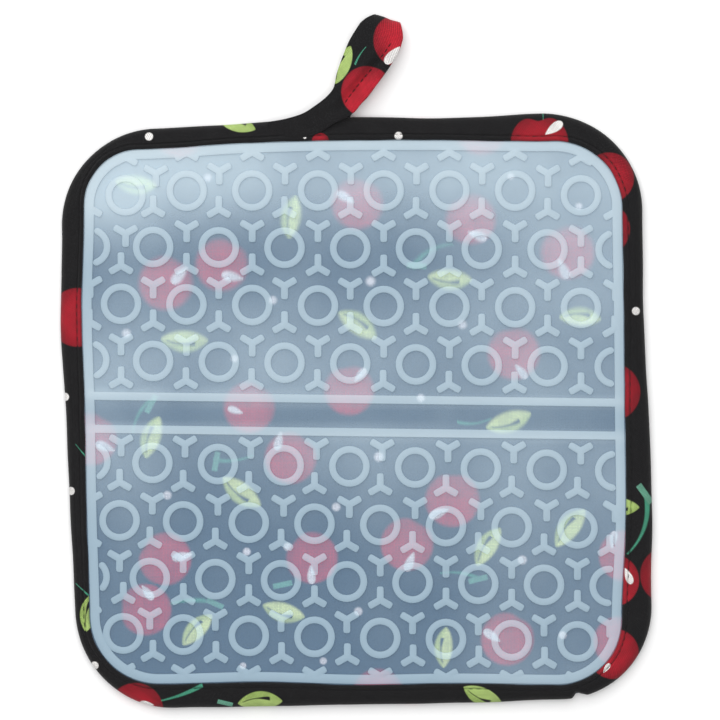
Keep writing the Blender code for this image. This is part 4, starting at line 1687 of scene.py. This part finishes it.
def edge_stitches_mesh(tape):
    """The sewing along the binding, on its upper and its lower leg."""
    sizes, _ = settings()
    count = int(round(tape.total() / sizes.stitch_pitch))
    seam = tape.window - tape.inwards * STITCH_LINE
    upper = BINDING_TOP - sizes.groove_depth + GROOVE_SEAT * sizes.stitch_radius
    lower = sizes.stitch_radius
    bm = bmesh.new()
    for number in range(count):
        ends = []
        for share in STITCH_SHARES:
            station = int(round((number + share) / count * len(seam))) % len(seam)
            ends.append(seam[station])
        for z in (upper, lower):
            start, end = (Vector((*place, z)) for place in ends)
            add_stitch(bm, start, end, sizes.stitch_radius)
    return as_mesh("edge_stitches", bm)


def loop_stitches_mesh():
    """The sewing down the crease in the front of the loop."""
    sizes, _ = settings()
    rows, left, right = loop_edges(smooth_rows(FRONT_TAPE))
    seam = left + (right - left) * rows[:, 5:6]
    normals = unit(np.cross(unit(right - left), np.gradient(seam, axis=0)))
    seat = LOOP_THICKNESS / 2 + CREASE_SEAT * sizes.stitch_radius
    depth = seat - LOOP_STITCH_DEPTH * rows[:, 6:7]
    seam = (seam + normals * depth)[rows[:, 6] > LOOP_SEWN_DEPTH]
    run = run_along(seam)
    pitch = sizes.stitch_pitch * LOOP_STITCH_SHARE
    bm = bmesh.new()
    for number in range(int(run[-1] / pitch)):
        ends = []
        for share in STITCH_SHARES:
            at = (number + share) * pitch
            ends.append(Vector([np.interp(at, run, column) for column in seam.T]))
        add_stitch(bm, *ends, sizes.stitch_radius)
    return as_mesh("loop_stitches", bm)


def quilting_stitches_mesh():
    """The sewing along the channels of the underside."""
    sizes, _ = settings()
    window = outlines(COARSE_STEPS)["window"]
    pitch = sizes.quilting_pitch
    bm = bmesh.new()
    for sign in (1, -1):
        direction = Vector((1, -sign)).normalized()
        for line in QUILTING_LINES:
            foot = Vector((1, sign)).normalized() * (line + 0.5) * CHANNEL_PITCH
            for number in QUILTING_STITCHES:
                holes = [foot + direction * pitch * (number + share) for share in STITCH_SHARES]
                places = np.array(holes)
                if depth_inside(places, window).min() < QUILTING_MARGIN:
                    continue
                heights = underside_at_line(places)
                ends = [Vector((*place, z)) for place, z in zip(places, heights)]
                add_stitch(bm, *ends, sizes.stitch_radius)
    return as_mesh("quilting_stitches", bm)


def underside_at_line(places):
    """The height of thread that lies in a channel, just under its cloth."""
    sizes, _ = settings()
    crossing = min(distances.max() for distances in from_channel(places))
    return np.full(2, CHANNEL_DEPTH + PUFF_DEPTH - sizes.stitch_radius - THREAD_SINK * crossing)


# ================================================================ operators


def settings():
    scene = bpy.context.scene
    return scene.pot_holder_sizes, scene.pot_holder_colours


def shade_softly(mesh, angle):
    mesh.shade_smooth()
    mesh.set_sharp_from_angle(angle=math.radians(angle))


class POTHOLDER_OT_pad(bpy.types.Operator):
    """Add the printed cotton pad with its quilted underside"""

    bl_idname = "pot_holder.add_pad"
    bl_label = "Add pad"

    def execute(self, context):
        mesh = pad_mesh()
        shade_softly(mesh, 50)
        cloth = cotton("Pad cotton", turn=0, gap_shade=0.7, through_silicone=True)
        pad = add_piece("pad_cover", mesh, cloth, ("quilted_pad",))
        return {"FINISHED"}


class POTHOLDER_OT_silicone(bpy.types.Operator):
    """Add the moulded silicone face with its rings, three-armed ribs, bars and rim"""

    bl_idname = "pot_holder.add_silicone"
    bl_label = "Add silicone face"

    def execute(self, context):
        mesh = silicone_mesh()
        shade_softly(mesh, 35)
        add_piece("silicone_face", mesh, silicone(), ("silicone_grip",))
        return {"FINISHED"}


class POTHOLDER_OT_binding(bpy.types.Operator):
    """Add the cotton tape folded over the edge"""

    bl_idname = "pot_holder.add_binding"
    bl_label = "Add binding"

    def execute(self, context):
        tape = Tape()
        mesh = binding_mesh(tape)
        shade_softly(mesh, 60)
        cloth = cotton("Tape cotton", turn=45, gap_shade=0.35)
        made = add_piece("edge_tape", mesh, cloth, ("edge_binding",))
        return {"FINISHED"}


class POTHOLDER_OT_loop(bpy.types.Operator):
    """Add the hanging loop, the free tail of the tape folded back on itself"""

    bl_idname = "pot_holder.add_loop"
    bl_label = "Add hanging loop"

    def execute(self, context):
        mesh = loop_mesh()
        shade_softly(mesh, 60)
        # painted light: the loop's red is drawn lighter than the same tape's red on the binding
        cloth = cotton("Loop cotton", turn=45, gap_shade=0.35, red_painted_light=1.3)
        made = add_piece("loop_tape", mesh, cloth, ("hanging_loop",))
        return {"FINISHED"}


class POTHOLDER_OT_sewing(bpy.types.Operator):
    """Add the stitches along the binding and the loop and in the quilted channels"""

    bl_idname = "pot_holder.add_sewing"
    bl_label = "Add sewing"

    def execute(self, context):
        thread = thread_material()
        for name, mesh, slot in (
            ("edge_stitches", edge_stitches_mesh(Tape()), "binding_cotton"),
            ("loop_stitches", loop_stitches_mesh(), "loop_cotton"),
            ("quilting_stitches", quilting_stitches_mesh(), "pad_cotton"),
        ):
            shade_softly(mesh, 80)
            add_piece(name, mesh, thread)
        return {"FINISHED"}


FLOOR_SIZE = 6.0
FLOOR_GAP = 0.0001
SURROUNDING_LIGHT = 0.38
CAMERA_HEIGHT = 1.5
VIEW_WIDTH = 0.2507
VIEW_MIDDLE = (0.0012, 0.01775)
Lamp = namedtuple("Lamp", "name x y z width power")
LAMPS = (
    Lamp("key_soft_box", -0.35, 0.80, 1.25, 1.4, 16.0),
    Lamp("overhead_soft_box", 0.05, -0.10, 1.90, 1.3, 17.5),
)


class POTHOLDER_OT_stage(bpy.types.Operator):
    """Add the pale floor, the soft lights and the camera above the holder"""

    bl_idname = "pot_holder.add_stage"
    bl_label = "Add stage"

    def execute(self, context):
        bm = bmesh.new()
        bmesh.ops.create_grid(bm, x_segments=1, y_segments=1, size=FLOOR_SIZE / 2)
        bmesh.ops.translate(bm, verts=bm.verts, vec=(0, 0, -FLOOR_GAP))
        floor = new_object("floor", as_mesh("floor", bm))
        floor.data.materials.append(floor_material())

        for lamp in LAMPS:
            data = bpy.data.lights.new(lamp.name, "AREA")
            data.size = lamp.width
            data.energy = lamp.power
            light = new_object(lamp.name, data)
            light.location = (lamp.x, lamp.y, lamp.z)
            light.rotation_euler = (-light.location).to_track_quat("-Z", "Y").to_euler()

        world = bpy.data.worlds.new("Studio")
        world.use_nodes = True
        background = world.node_tree.nodes["Background"]
        background.inputs["Color"].default_value = (1.0, 1.0, 1.0, 1.0)
        background.inputs["Strength"].default_value = SURROUNDING_LIGHT
        context.scene.world = world
        context.scene.view_settings.view_transform = "Standard"

        data = bpy.data.cameras.new("camera")
        data.angle = 2 * math.atan(VIEW_WIDTH / 2 / (CAMERA_HEIGHT - BINDING_TOP))
        data.clip_start = 0.01
        camera = new_object("camera", data)
        camera.location = (*VIEW_MIDDLE, CAMERA_HEIGHT)
        context.scene.camera = camera
        return {"FINISHED"}


class POTHOLDER_PT_panel(bpy.types.Panel):
    """Lists the settings and the pieces"""

    bl_idname = "POTHOLDER_PT_panel"
    bl_label = "Quilted pot holder"
    bl_space_type = "VIEW_3D"
    bl_region_type = "UI"
    bl_category = "Pot holder"

    def draw(self, context):
        for group in settings():
            for name in group.__annotations__:
                self.layout.prop(group, name)
        for operator in OPERATORS:
            self.layout.operator(operator.bl_idname)


OPERATORS = (
    POTHOLDER_OT_stage,
    POTHOLDER_OT_pad,
    POTHOLDER_OT_silicone,
    POTHOLDER_OT_binding,
    POTHOLDER_OT_loop,
    POTHOLDER_OT_sewing,
)
CLASSES = (PotHolderSizes, PotHolderColours, *OPERATORS, POTHOLDER_PT_panel)


def register():
    for item in CLASSES:
        bpy.utils.register_class(item)
    bpy.types.Scene.pot_holder_sizes = bpy.props.PointerProperty(type=PotHolderSizes)
    bpy.types.Scene.pot_holder_colours = bpy.props.PointerProperty(type=PotHolderColours)


def unregister():
    del bpy.types.Scene.pot_holder_colours
    del bpy.types.Scene.pot_holder_sizes
    for item in reversed(CLASSES):
        bpy.utils.unregister_class(item)


def main():
    register()
    bpy.ops.pot_holder.add_stage()
    bpy.ops.pot_holder.add_pad()
    bpy.ops.pot_holder.add_silicone()
    bpy.ops.pot_holder.add_binding()
    bpy.ops.pot_holder.add_loop()
    bpy.ops.pot_holder.add_sewing()


if __name__ == "__main__":
    main()
